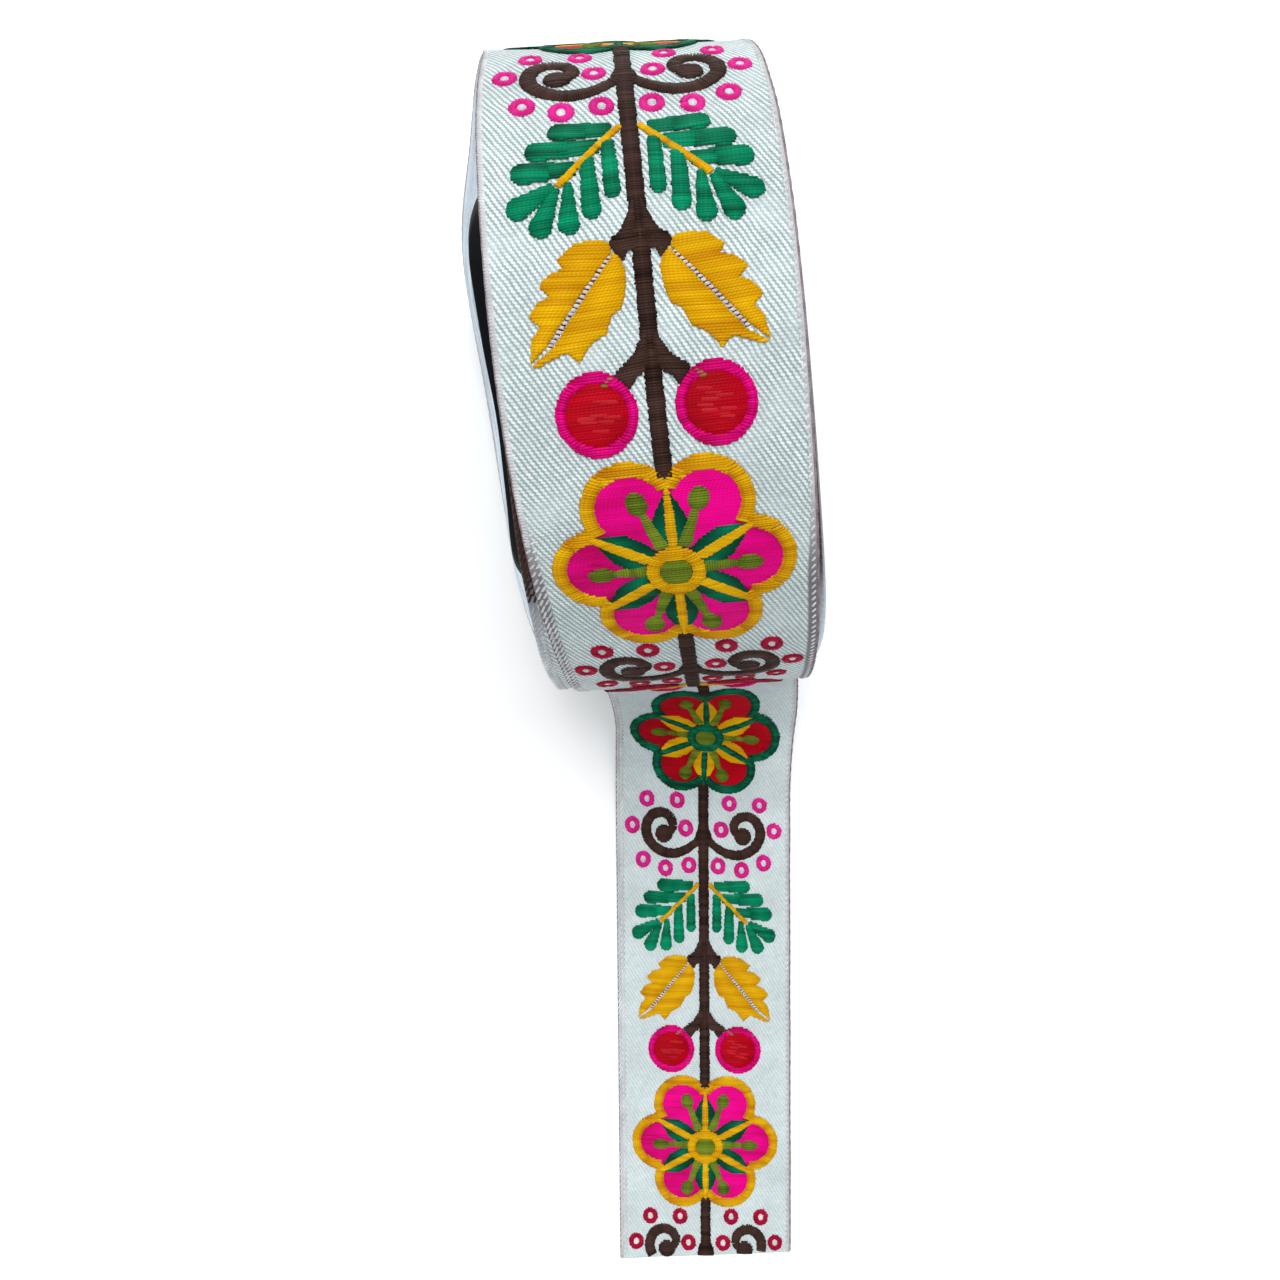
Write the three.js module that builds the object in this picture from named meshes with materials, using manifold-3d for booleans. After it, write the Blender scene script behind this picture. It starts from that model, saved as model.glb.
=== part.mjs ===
// Embroidered ribbon, wound on a dark core tube, standing on its rim with its loose end laid out in front.
//
// Millimetres, +Z up. The roll's axis runs along X and the loose end runs towards -Y. The origin is the
// middle of the small flat spot on which the roll stands.
//
// An angle round the roll is called turn here. It is 0 at the top of the roll, a quarter turn at the front,
// where the ribbon comes down, and half a turn at the floor.

import * as THREE from 'three';
import { mergeVertices } from 'three/addons/utils/BufferGeometryUtils.js';
import Module from 'manifold-3d';

const wasm = await Module();
wasm.setup();

// Driving dimensions
const RIBBON_WIDTH = 50;
const SHEET_THICKNESS = 1;
const AIR_GAP = 0.3;
const ROLL_RADIUS = 66.2;
const CORE_BORE_RADIUS = 38.2;
const CORE_WALL = 2.5;
const CORE_WIDTH = 49;
const FLAT_SPOT_LENGTH = 24;

// The ribbon leaves the roll a little past the front, where it hangs straight down
const PEEL_TURN = THREE.MathUtils.degToRad(96);
const FIRST_TURN = PEEL_TURN - THREE.MathUtils.degToRad(342);

// The turns have slipped sideways, so that the roll leans over to the left at its foot.
// LEAN and SWING tilt the two side faces, SADDLE and TWIST warp them.
const LEAN = 7.0;
const SWING = 5.0;
const SADDLE = -3.4;
const TWIST = -1.3;

// The last turn runs off to the right before it leaves the roll
const RUN_OFF = 6.0;
const RUN_OFF_POWER = 3.3;

// Turns in bands, from the core outwards, each band standing a little in or out of its neighbours
const BAND_OFFSETS = [-1.2, -0.5, -0.9, -0.1];

// The loose end seen from the side: it hangs off the roll, bends forward and comes to lie on the floor
const DROP_HANDLE = 38;
const LANDING_HANDLE = 26;
const LANDING_Y = -113;
const CUT_Y = -241;

// The loose end seen from above: it swings out to the right as it drops, and then runs back a little
const SWING_LENGTH = 52;
const SWING_OUT = 17.2;
const LEAVING_SLOPE = 0.08;
const RUN_BACK = 0.053;

// How finely the curves are divided
const RING_STEPS = 120;
const DROP_STEPS = 26;
const LAID_STEPS = 8;

const PITCH = SHEET_THICKNESS + AIR_GAP;
const CORE_OUTER_RADIUS = CORE_BORE_RADIUS + CORE_WALL;
const WINDING_INNER_RADIUS = CORE_OUTER_RADIUS + AIR_GAP;
const BODY_RADIUS = ROLL_RADIUS - PITCH;
const STEP_TURN = (2 * Math.PI) / RING_STEPS;

// The outer surface is a spiral that grows by one pitch in a whole turn and ends where the ribbon leaves
const spiralRadius = (turn) => ROLL_RADIUS - (PITCH * (PEEL_TURN - turn)) / (2 * Math.PI);
const FOOT_RADIUS = spiralRadius(-Math.PI);
const AXIS_HEIGHT = Math.sqrt(FOOT_RADIUS ** 2 - (FLAT_SPOT_LENGTH / 2) ** 2);

// Where the middle of the ribbon lies along the axis, in a turn of this radius
function slip(turn, radius) {
  const share = radius / ROLL_RADIUS;
  const tilt = LEAN * Math.cos(turn) + SWING * Math.sin(turn);
  const warp = SADDLE * Math.cos(2 * turn) + TWIST * Math.sin(2 * turn);
  return LEAN - SADDLE + share * tilt + share ** 2 * warp;
}

function lastTurnMiddle(turn) {
  const share = Math.max(turn, 0) / PEEL_TURN;
  return slip(turn, ROLL_RADIUS) + RUN_OFF * share ** RUN_OFF_POWER;
}

function onRoll(x, turn, radius) {
  return new THREE.Vector3(x, -radius * Math.sin(turn), AXIS_HEIGHT + radius * Math.cos(turn));
}

// A closed solid through a row of loops with the same number of points. A ring joins its last loop
// to its first, and an open row gets a flat face at each end.
function loft(loops, ring) {
  const size = loops[0].length;
  const positions = loops.flat().flatMap((point) => point.toArray());
  const triangles = [];
  const spans = ring ? loops.length : loops.length - 1;
  for (let i = 0; i < spans; i += 1) {
    const here = i * size;
    const next = ((i + 1) % loops.length) * size;
    for (let j = 0; j < size; j += 1) {
      const k = (j + 1) % size;
      triangles.push(here + j, next + j, next + k);
      triangles.push(here + j, next + k, here + k);
    }
  }
  if (!ring) {
    const end = (loops.length - 1) * size;
    for (let j = 1; j < size - 1; j += 1) {
      triangles.push(0, j, j + 1);
      triangles.push(end, end + j + 1, end + j);
    }
  }
  const geometry = new THREE.BufferGeometry();
  geometry.setAttribute('position', new THREE.Float32BufferAttribute(positions, 3));
  geometry.setIndex(triangles);
  return facingOut(geometry);
}

// Turns a closed surface the right way round, by the sign of its volume
function facingOut(geometry) {
  const points = geometry.getAttribute('position');
  const index = geometry.getIndex().array;
  const corner = (n) => new THREE.Vector3().fromBufferAttribute(points, index[n]);
  let volume = 0;
  for (let n = 0; n < index.length; n += 3) {
    volume += corner(n).dot(corner(n + 1).cross(corner(n + 2)));
  }
  if (volume < 0) {
    geometry.setIndex(Array.from(index).reverse());
  }
  return geometry;
}

function toSolid(geometry) {
  const bare = geometry.clone();
  bare.deleteAttribute('normal');
  bare.deleteAttribute('uv');
  const merged = mergeVertices(bare);
  const vertProperties = new Float32Array(merged.getAttribute('position').array);
  const triVerts = new Uint32Array(merged.getIndex().array);
  return new wasm.Manifold(new wasm.Mesh({ numProp: 3, vertProperties, triVerts }));
}

function toGeometry(solid) {
  const mesh = solid.getMesh();
  const geometry = new THREE.BufferGeometry();
  geometry.setAttribute('position', new THREE.BufferAttribute(mesh.vertProperties, 3));
  geometry.setIndex(new THREE.BufferAttribute(mesh.triVerts, 1));
  return geometry;
}

// One cut through the wound turns, from the core up the left side and down the right side
function bodySection(turn) {
  const bandDepth = (BODY_RADIUS - WINDING_INNER_RADIUS) / BAND_OFFSETS.length;
  const side = (sign) => BAND_OFFSETS.flatMap((offset, band) => {
    const inner = WINDING_INNER_RADIUS + band * bandDepth;
    const radii = [inner, inner + bandDepth];
    return radii.map((radius) => {
      const x = slip(turn, radius) + offset + (sign * RIBBON_WIDTH) / 2;
      return onRoll(x, turn, radius);
    });
  });
  return [...side(-1), ...side(1).reverse()];
}

// One cut through the last turn, sunk a little into the turns below so that the two fuse
function lastTurnSection(turn) {
  const middle = lastTurnMiddle(turn);
  const root = BODY_RADIUS - SHEET_THICKNESS / 2;
  const corners = [[-1, root], [-1, spiralRadius(turn)], [1, spiralRadius(turn)], [1, root]];
  return corners.map(([sign, radius]) => onRoll(middle + (sign * RIBBON_WIDTH) / 2, turn, radius));
}

function ribbonRoll() {
  const body = [];
  for (let i = 0; i < RING_STEPS; i += 1) {
    body.push(bodySection(PEEL_TURN - i * STEP_TURN));
  }
  const lastTurn = [];
  for (let turn = PEEL_TURN; turn > FIRST_TURN; turn -= STEP_TURN) {
    lastTurn.push(lastTurnSection(turn));
  }
  const ground = new THREE.BoxGeometry(4 * RIBBON_WIDTH, 2 * ROLL_RADIUS, ROLL_RADIUS);
  ground.translate(0, 0, -ROLL_RADIUS / 2);
  const wound = toSolid(loft(body, true)).add(toSolid(loft(lastTurn, false)));
  return toGeometry(wound.subtract(toSolid(ground)));
}

// The tube keeps within the slipped turns, so its ends follow their tilt
function coreTube() {
  const section = (turn) => {
    const corners = [
      [-1, CORE_BORE_RADIUS],
      [-1, CORE_OUTER_RADIUS],
      [1, CORE_OUTER_RADIUS],
      [1, CORE_BORE_RADIUS],
    ];
    return corners.map(([sign, radius]) => {
      const middle = slip(turn, CORE_OUTER_RADIUS) + BAND_OFFSETS[0];
      return onRoll(middle + (sign * CORE_WIDTH) / 2, turn, radius);
    });
  };
  const loops = [];
  for (let i = 0; i < RING_STEPS; i += 1) {
    loops.push(section(i * STEP_TURN));
  }
  return loft(loops, true);
}

// The middle line of the loose end, first off the roll and down, then along the floor to the cut
function looseEndLine() {
  const startTurn = PEEL_TURN + AIR_GAP / ROLL_RADIUS;
  const start = onRoll(0, startTurn, ROLL_RADIUS - SHEET_THICKNESS / 2);
  const down = new THREE.Vector3(0, -Math.cos(startTurn), -Math.sin(startTurn));
  const laid = SHEET_THICKNESS / 2;
  const drop = new THREE.CubicBezierCurve3(
    start,
    start.clone().addScaledVector(down, DROP_HANDLE),
    new THREE.Vector3(0, LANDING_Y + LANDING_HANDLE, laid),
    new THREE.Vector3(0, LANDING_Y, laid),
  );
  const line = drop.getPoints(DROP_STEPS);
  for (let i = 1; i <= LAID_STEPS; i += 1) {
    line.push(new THREE.Vector3(0, THREE.MathUtils.lerp(LANDING_Y, CUT_Y, i / LAID_STEPS), laid));
  }
  const sideView = line.map((point) => point.clone());

  // Sideways: on from the last turn's middle, in one easy swing, to the line on which the end lies
  const leavingX = lastTurnMiddle(PEEL_TURN);
  const swungX = slip(0, ROLL_RADIUS) + SWING_OUT;
  let length = 0;
  let swungY = start.y;
  line.forEach((point, i) => {
    length += i > 0 ? sideView[i].distanceTo(sideView[i - 1]) : 0;
    if (length < SWING_LENGTH) {
      point.x = swing(leavingX, LEAVING_SLOPE, swungX, length / SWING_LENGTH);
      swungY = point.y;
    } else {
      point.x = swungX + RUN_BACK * (point.y - swungY);
    }
  });
  return line;
}

// A smooth step from one place and slope to another place and no slope, over the swing's length
function swing(from, slope, to, share) {
  const step = share ** 2 * (3 - 2 * share);
  const carry = share * (1 - share) ** 2;
  return from + (to - from) * step + slope * SWING_LENGTH * carry;
}

// Each cut through the ribbon starts level, as on the roll, and turns square to the line further down
function looseEnd() {
  const line = looseEndLine();
  const across = new THREE.Vector3(1, 0, 0);
  const loops = line.map((point, i) => {
    const before = line[Math.max(i - 1, 0)];
    const after = line[Math.min(i + 1, line.length - 1)];
    const along = after.clone().sub(before).normalize();
    const square = THREE.MathUtils.smoothstep(i, 0, DROP_STEPS);
    const side = across.clone().addScaledVector(along, -square * across.dot(along)).normalize();
    const up = along.clone().cross(side).normalize();
    const corners = [[-1, -1], [-1, 1], [1, 1], [1, -1]];
    return corners.map(([left, top]) => point.clone()
      .addScaledVector(side, (left * RIBBON_WIDTH) / 2)
      .addScaledVector(up, (top * SHEET_THICKNESS) / 2));
  });
  return loft(loops, false);
}

function piece(name, geometry, colour, roughness) {
  geometry.computeVertexNormals();
  const material = new THREE.MeshStandardMaterial({ color: colour, roughness, metalness: 0 });
  const mesh = new THREE.Mesh(geometry, material);
  mesh.name = name;
  return mesh;
}

const ribbon = new THREE.Group();
ribbon.add(piece('ribbon_roll', ribbonRoll(), 0xdfe6e2, 0.55));
ribbon.add(piece('ribbon_loose_end', looseEnd(), 0xe4eae6, 0.55));
ribbon.add(piece('core_tube', coreTube(), 0x0d0f14, 0.7));

export default ribbon;
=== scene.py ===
# %% [markdown]
# # A roll of embroidered ribbon
# The object is one long white ribbon, 50 mm wide, with flowers, leaves and cherries embroidered along it.
# It is wound on a black core tube and stands on its rim. The last stretch hangs off the front, bends
# forward and lies on the floor, right side up, to a straight cut.
#
# The construction model holds the wound form as plain solids. This lesson dresses them. Everything on the
# ribbon is placed in the ribbon's own plane, as u across it and s along it, and one function lays that
# plane round the roll and down to the floor. So cloth, stitches and edges always fit each other.

import math
from functools import partial

import bpy
import numpy as np
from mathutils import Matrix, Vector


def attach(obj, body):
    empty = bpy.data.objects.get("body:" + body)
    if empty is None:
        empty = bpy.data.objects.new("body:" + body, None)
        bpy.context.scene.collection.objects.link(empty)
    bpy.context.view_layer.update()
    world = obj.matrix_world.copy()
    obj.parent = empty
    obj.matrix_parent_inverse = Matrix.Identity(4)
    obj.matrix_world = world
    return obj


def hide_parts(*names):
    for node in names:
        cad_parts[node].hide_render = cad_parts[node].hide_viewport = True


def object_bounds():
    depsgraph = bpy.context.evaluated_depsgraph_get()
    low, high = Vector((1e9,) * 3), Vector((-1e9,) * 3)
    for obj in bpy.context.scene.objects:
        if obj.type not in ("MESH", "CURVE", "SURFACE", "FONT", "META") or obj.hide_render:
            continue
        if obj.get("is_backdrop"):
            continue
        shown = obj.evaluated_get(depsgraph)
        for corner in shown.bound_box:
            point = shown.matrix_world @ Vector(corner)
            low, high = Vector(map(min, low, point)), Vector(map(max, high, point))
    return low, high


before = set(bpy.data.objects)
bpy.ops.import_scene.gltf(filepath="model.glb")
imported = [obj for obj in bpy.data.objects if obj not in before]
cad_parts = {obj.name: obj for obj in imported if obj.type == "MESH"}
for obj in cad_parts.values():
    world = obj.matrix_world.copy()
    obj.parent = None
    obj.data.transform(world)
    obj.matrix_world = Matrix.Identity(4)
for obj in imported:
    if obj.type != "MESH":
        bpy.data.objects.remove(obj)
cad_box = [list(corner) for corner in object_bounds()]
print("solids:", sorted(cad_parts))

# %% [markdown]
# ## The camera
# The picture is taken from almost straight above, with the near rim of the roll towards the lens. The
# focal length is written as the number of pixels that it spans in the 1280 pixel picture, because that is
# what a fit to the ribbon's width at two heights gives.

# %% The camera
MM = 0.001
PICTURE_SIZE = 1280
FOCAL_PIXELS = 1041
CAMERA_PLACE = (3.3, -43.2, 296.2)
CAMERA_TILT = (-2.93, -2.39, -3.55)

camera_data = bpy.data.cameras.new("picture_camera")
camera_data.sensor_width = 36
camera_data.lens = camera_data.sensor_width * FOCAL_PIXELS / PICTURE_SIZE
camera_data.clip_start = 0.01
camera = bpy.data.objects.new("picture_camera", camera_data)
camera.location = [MM * part for part in CAMERA_PLACE]
camera.rotation_euler = [math.radians(angle) for angle in CAMERA_TILT]
bpy.context.scene.collection.objects.link(camera)
bpy.context.scene.camera = camera
print("lens", round(camera_data.lens, 1), "mm")

# %% [markdown]
# ## The ribbon's path
# A real ribbon is one strip from the core to the cut. Its path has two stretches: a spiral round the roll,
# and the loose end. The sizes are those of the solids, so both models share one shape. A *turn* is an
# angle round the roll: 0 on top, 90 degrees at the front and 180 at the floor. The waves are sideways bumps
# in the run of the turns, each with its size in millimetres, and its centre and half width in degrees.

# %% Driving sizes in millimetres
RIBBON_WIDTH = 50.0
SHEET_THICKNESS = 1.0
AIR_GAP = 0.3
ROLL_RADIUS = 66.2
CORE_BORE_RADIUS, CORE_OUTER_RADIUS, CORE_WIDTH, CORE_OFFSET = 38.2, 40.7, 49.0, -1.2
FLAT_SPOT_LENGTH = 24.0
PEEL_DEGREES = 96
PEEL_TURN = math.radians(PEEL_DEGREES)
LEAN, SWING, SADDLE, TWIST = 7.0, 5.0, -3.4, -1.3
RUN_OFF, RUN_OFF_POWER = 6.0, 3.3
TURN_WAVES = ((2.3, 184, 25), (-1.8, 130, 21), (-1.8, 228, 18), (1.4, 298, 17))
DROP_HANDLE, LANDING_HANDLE = 38.0, 26.0
LANDING_Y, CUT_Y = -113.0, -241.0
SWING_LENGTH, SWING_OUT, LEAVING_SLOPE, RUN_BACK = 52.0, 17.2, 0.08, 0.053

HALF_WIDTH = RIBBON_WIDTH / 2
CLOTH = 0.66
TURN_PITCH = 0.85
FULL_TURN = 2 * math.pi
foot_radius = ROLL_RADIUS - (SHEET_THICKNESS + AIR_GAP) * (PEEL_TURN + math.pi) / FULL_TURN
AXIS_HEIGHT = math.sqrt(foot_radius**2 - (FLAT_SPOT_LENGTH / 2) ** 2)
print("axis", round(AXIS_HEIGHT, 2), "mm above the floor")


# %% Where the turns lie
def swell(turn, centre, half_width):
    """A smooth bump that is 1 at its centre, in degrees, and comes back in every turn."""
    away = (np.degrees(turn) - centre + 180) % 360 - 180
    return np.exp(-((away / half_width) ** 2))


def waves(turn, rows):
    """A sum of such bumps. A row is a size, a centre and a half width."""
    return sum(size * swell(turn, centre, half_width) for size, centre, half_width in rows)


def plain_slip(turn, radius):
    """How far along the axis the middle of a turn has slipped, as in the solids."""
    share = radius / ROLL_RADIUS
    tilt = LEAN * np.cos(turn) + SWING * np.sin(turn)
    warp = SADDLE * np.cos(2 * turn) + TWIST * np.sin(2 * turn)
    return LEAN - SADDLE + share * tilt + share**2 * warp


def slip(turn, radius):
    """As plain_slip, with the small waves that the turns have in their run."""
    return plain_slip(turn, radius) + waves(turn, TURN_WAVES)


def last_turn_middle(turn):
    """The last turn runs off to the right before it leaves the roll."""
    share = np.maximum(turn, 0) / PEEL_TURN
    return slip(turn, ROLL_RADIUS) + RUN_OFF * share**RUN_OFF_POWER


def spiral_radius(turn):
    """Radius of the middle of the cloth. It grows by one pitch in a whole turn."""
    return ROLL_RADIUS - SHEET_THICKNESS / 2 - TURN_PITCH * (PEEL_TURN - turn) / FULL_TURN


def on_roll(x, turn, radius):
    return np.stack([x + 0 * turn, -radius * np.sin(turn), AXIS_HEIGHT + radius * np.cos(turn)], -1)


quarters = np.radians([0, 90, 180, 270])
print("slipped by", slip(quarters, ROLL_RADIUS).round(1), "mm at top, front, foot and back")

# %% [markdown]
# The weight of the roll presses its lowest turns flat. Below a knee, heights are squeezed together so that
# the lowest point comes to lie just above the floor. The turns keep their order.

# %% The flat spot
SQUEEZE_KNEE, LOWEST_CLOTH = 10.0, 1.32
unpressed_foot = AXIS_HEIGHT - spiral_radius(-math.pi)
print("the foot of the cloth would reach", round(unpressed_foot, 2), "mm")


def settle(points):
    """Presses the foot of the roll flat."""
    share = (SQUEEZE_KNEE - LOWEST_CLOTH) / (SQUEEZE_KNEE - unpressed_foot)
    height = points[..., 2]
    pressed = LOWEST_CLOTH + share * (height - unpressed_foot)
    points[..., 2] = np.where(height < SQUEEZE_KNEE, pressed, height)
    return points


# %% The loose end
def unit(vectors):
    return vectors / np.linalg.norm(vectors, axis=-1, keepdims=True)


def lengths_along(points):
    return np.concatenate([[0], np.cumsum(np.linalg.norm(np.diff(points, axis=0), axis=1))])


LINE_STEPS = 160


def loose_end_line():
    """Middle line of the loose end: it drops off the roll, lands and runs straight to the cut."""
    start_turn = PEEL_TURN + AIR_GAP / ROLL_RADIUS
    start = on_roll(0.0, np.array(start_turn), ROLL_RADIUS - SHEET_THICKNESS / 2)
    down = np.array([0, -math.cos(start_turn), -math.sin(start_turn)])
    laid = SHEET_THICKNESS / 2
    handles = [
        start,
        start + DROP_HANDLE * down,
        np.array([0, LANDING_Y + LANDING_HANDLE, laid]),
        np.array([0, LANDING_Y, laid]),
    ]
    k = np.linspace(0, 1, LINE_STEPS)[:, None]
    weights = [(1 - k) ** 3, 3 * k * (1 - k) ** 2, 3 * k**2 * (1 - k), k**3]
    drop = sum(weight * handle for weight, handle in zip(weights, handles))
    run = np.linspace(LANDING_Y, CUT_Y, LINE_STEPS)[1:]
    return np.concatenate([drop, np.stack([0 * run, run, 0 * run + laid], -1)])


def swing_out(line):
    """Sideways, the line goes on from the last turn and swings over to where the end lies."""
    length = lengths_along(line)
    leaving = last_turn_middle(np.array(PEEL_TURN))
    swung = slip(0.0, ROLL_RADIUS) + SWING_OUT
    share = length / SWING_LENGTH
    carry = LEAVING_SLOPE * SWING_LENGTH * share * (1 - share) ** 2
    early = length < SWING_LENGTH
    swinging = leaving + (swung - leaving) * share**2 * (3 - 2 * share) + carry
    straight = swung + RUN_BACK * (line[:, 1] - line[early][-1, 1])
    line[:, 0] = np.where(early, swinging, straight)
    return line


print("the loose end is", round(lengths_along(swing_out(loose_end_line()))[-1]), "mm long")

# %% The whole path of the face, from one turn back to the cut
TURN_STEP = 0.5
turn_degrees = np.arange(PEEL_DEGREES - 360, PEEL_DEGREES + TURN_STEP / 2, TURN_STEP)
face_turns = np.radians(turn_degrees)
roll_line = settle(on_roll(last_turn_middle(face_turns), face_turns, spiral_radius(face_turns)))
roll_up = on_roll(0 * face_turns, face_turns, 1.0) - [0, 0, AXIS_HEIGHT]
roll_side = np.tile([1.0, 0, 0], (len(face_turns), 1))

loose_line = swing_out(loose_end_line())
loose_along = unit(np.gradient(loose_line, axis=0))
square = np.clip(np.arange(len(loose_line)) / LINE_STEPS, 0, 1)[:, None]
square = square**2 * (3 - 2 * square)
loose_side = unit([1.0, 0, 0] - square * loose_along[:, :1] * loose_along)
loose_up = unit(np.cross(loose_side, loose_along))
loose_up *= np.sign(loose_up[-1, 2])

PATH = np.concatenate([roll_line, loose_line])
SIDE = np.concatenate([roll_side, loose_side])
UP = np.concatenate([roll_up, loose_up])
LENGTH = lengths_along(PATH)
LENGTH = LENGTH - np.interp(0, face_turns, LENGTH[: len(face_turns)])
FACE_START, FACE_END = LENGTH[0], LENGTH[-1]
print("face runs from", round(FACE_START), "to", round(FACE_END), "mm")
print("it leaves the roll at", round(LENGTH[len(face_turns)]), "mm")

# %% [markdown]
# ## Laying the ribbon's plane
# `lay` takes places across and along the ribbon, with a height above the middle of the cloth, to places in
# the room. The cloth isn't perfectly smooth: its edges ripple a little, and the stitches pull it in.


# %% From the ribbon's plane to the room
LEFT_RIPPLES = ((0.16, 6.1, 0.4), (0.12, 2.7, 1.9))
RIGHT_RIPPLES = ((0.15, 5.3, 2.1), (0.10, 3.1, 0.3))
DEEPEST_RIPPLE = -0.14


def ripples(s, rows):
    """A row is a height, a length over which the phase turns by one radian, and the phase at the start."""
    return sum(height * np.sin(s / length + start) for height, length, start in rows)


def ripple(u, s):
    """Small unevenness of the cloth: long ripples at its edges and a faint quilting between."""
    edge = (u / HALF_WIDTH) ** 4
    middle = 0.05 * np.sin(s / 4.3 + u / 5.0) + 0.04 * np.sin(u / 2.9 - s / 7.9)
    return edge * np.where(u < 0, ripples(s, LEFT_RIPPLES), ripples(s, RIGHT_RIPPLES)) + middle


def along_path(rows, s):
    return np.stack([np.interp(s, LENGTH, rows[:, axis]) for axis in range(3)], -1)


def lay(u, s, height):
    """Places in the room, in millimetres."""
    lift = height + np.maximum(ripple(u, s), DEEPEST_RIPPLE)
    return along_path(PATH, s) + u[..., None] * along_path(SIDE, s) + lift[..., None] * along_path(UP, s)


cut_corners = lay(np.array([-HALF_WIDTH, HALF_WIDTH]), np.full(2, FACE_END), 0.0)
print("the cut runs from", cut_corners[0].round(1), "to", cut_corners[1].round(1), "mm")

# %% [markdown]
# The weft threads don't run quite square to the edges: they are skewed a little one way on the roll and a
# little the other way on the loose end, most of all in its bend, as cloth is when it is wound and pulled.
# The cloth also stretches over the top of the roll, gives near where it leaves the roll, and sags between
# the two, most of all on the right. Each of these shifts the threads along by one to three millimetres, and
# both the weave and the embroidery follow them. A stretch has its size, its middle and its half width.

# %% The run of the weft
SKEW_ON_ROLL, SKEW_LAID, SKEW_IN_BEND = -0.055, 0.052, 0.12
BEND, TWISTED = (70.0, 165.0), (168, 20)
SLACK, STRETCHES = 1.3, ((0.95, -12, 32), (2.4, 101, 9))
SAG, SAGGING, SAG_ENDS_AT = 1.3, (70, 20), 16


def step_up(values, start, end):
    """0 before start, 1 after end, and smooth between."""
    share = np.clip((values - start) / (end - start), 0, 1)
    return share**2 * (3 - 2 * share)


def hump(values, centre, half_width):
    """A smooth bump that is 1 at its centre."""
    return np.exp(-(((values - centre) / half_width) ** 2))


def weft_shift(u, s):
    """How much further along the cloth a weft thread lies at u than its plain place."""
    share = step_up(s, *BEND)
    skew = SKEW_ON_ROLL + (SKEW_LAID - SKEW_ON_ROLL) * share + SKEW_IN_BEND * hump(s, *TWISTED)
    stretch = sum(size * hump(s, middle, half_width) for size, middle, half_width in STRETCHES)
    return skew * u - SLACK * (1 - share) + stretch + SAG * (1 + u / SAG_ENDS_AT) * hump(s, *SAGGING)


edges = np.array([-HALF_WIDTH, HALF_WIDTH])
print("threads shifted by", weft_shift(edges, 0 * edges).round(1), "mm at the edges of the roll's top")

# %% [markdown]
# ## Making meshes
# Three helpers make all the cloth. `section` gives one loop of points round the cloth, `band_faces` joins
# a row of such loops and closes both ends, and `new_piece` turns points into a Blender object and lets it
# ride on the part's body.


# %% Mesh helpers
def new_piece(name, points, faces, material, plane=None, tone=None):
    """A smooth mesh object. plane holds each point's place in the ribbon's plane, tone a number per point."""
    mesh = bpy.data.meshes.new(name)
    mesh.from_pydata((points.reshape(-1, 3) * MM).tolist(), [], faces.reshape(-1, 4).tolist())
    mesh.shade_smooth()
    if plane is not None:
        corners = np.empty(len(mesh.loops), int)
        mesh.loops.foreach_get("vertex_index", corners)
        layer = mesh.uv_layers.new(name="ribbon_plane")
        layer.uv.foreach_set("vector", plane.reshape(-1, 2)[corners].astype(np.float32).ravel())
    if tone is not None:
        attribute = mesh.attributes.new("tone", "FLOAT", "POINT")
        attribute.data.foreach_set("value", tone.astype(np.float32).ravel())
    mesh.materials.append(material)
    piece = bpy.data.objects.new(name, mesh)
    bpy.context.scene.collection.objects.link(piece)
    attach(piece, "root")
    return piece


def band_faces(sections, size):
    """Quads between neighbouring loops, and the two end caps as quads."""
    i = np.arange(sections - 1)[:, None] * size
    j = np.arange(size)[None, :]
    k = (j + 1) % size
    sides = np.stack([i + j, i + k, i + k + size, i + j + size], -1).reshape(-1, 4)
    half = size // 2
    n = np.arange(half - 1)
    cap = np.stack([n, n + 1, size - 2 - n, size - 1 - n], -1)
    last = (sections - 1) * size
    return np.concatenate([sides, cap[:, ::-1], cap + last])


EDGE_ROUNDING = 0.35


def section(columns):
    """Loop of (u, height) places round the cloth: along its face and back along its underside."""
    middle = np.linspace(-HALF_WIDTH + EDGE_ROUNDING, HALF_WIDTH - EDGE_ROUNDING, columns)
    top = np.concatenate([[-HALF_WIDTH], middle, [HALF_WIDTH]])
    heights = np.full(len(top), CLOTH / 2)
    heights[[0, -1]] = CLOTH / 8
    u = np.concatenate([top, top[::-1]])
    return u, np.concatenate([heights, -heights[::-1]])


print("a loop round the cloth has", len(section(31)[0]), "points")

# %% [markdown]
# ## Shared effects
# Three effects are used by more than one material, so each is a node group. *Weave* turns the ribbon's
# plane into the crowns and gaps of a twill: short white floats that step sideways from row to row, which
# makes the steep diagonal lines. Its crowns are the height of the floats, and its beads are their
# brightness. *Strand* gives a sewing thread its twist, with a faint painted shade in the grooves of the
# twist. *Soft variation* is a soft variation of tone. The cloth also takes from it soft patches of painted
# sheen, and the places where its floats lie tighter.


# %% Node helpers
def new_group(name, inputs, outputs):
    """A node group of plain numbers. An input whose value is None takes a vector."""
    group = bpy.data.node_groups.new(name, "ShaderNodeTree")
    for label, value in inputs.items():
        kind = "NodeSocketVector" if value is None else "NodeSocketFloat"
        socket = group.interface.new_socket(label, in_out="INPUT", socket_type=kind)
        if value is not None:
            socket.default_value = value
    for label in outputs:
        group.interface.new_socket(label, in_out="OUTPUT", socket_type="NodeSocketFloat")
    return group, group.nodes.new("NodeGroupInput"), group.nodes.new("NodeGroupOutput")


def calculate(tree, operation, *values, clamp=False):
    """A Math node. Each value is a number or another node's output."""
    node = tree.nodes.new("ShaderNodeMath")
    node.operation = operation
    node.use_clamp = clamp
    for socket, value in zip(node.inputs, values):
        if isinstance(value, (int, float)):
            socket.default_value = value
        else:
            tree.links.new(value, socket)
    return node.outputs[0]


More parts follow.
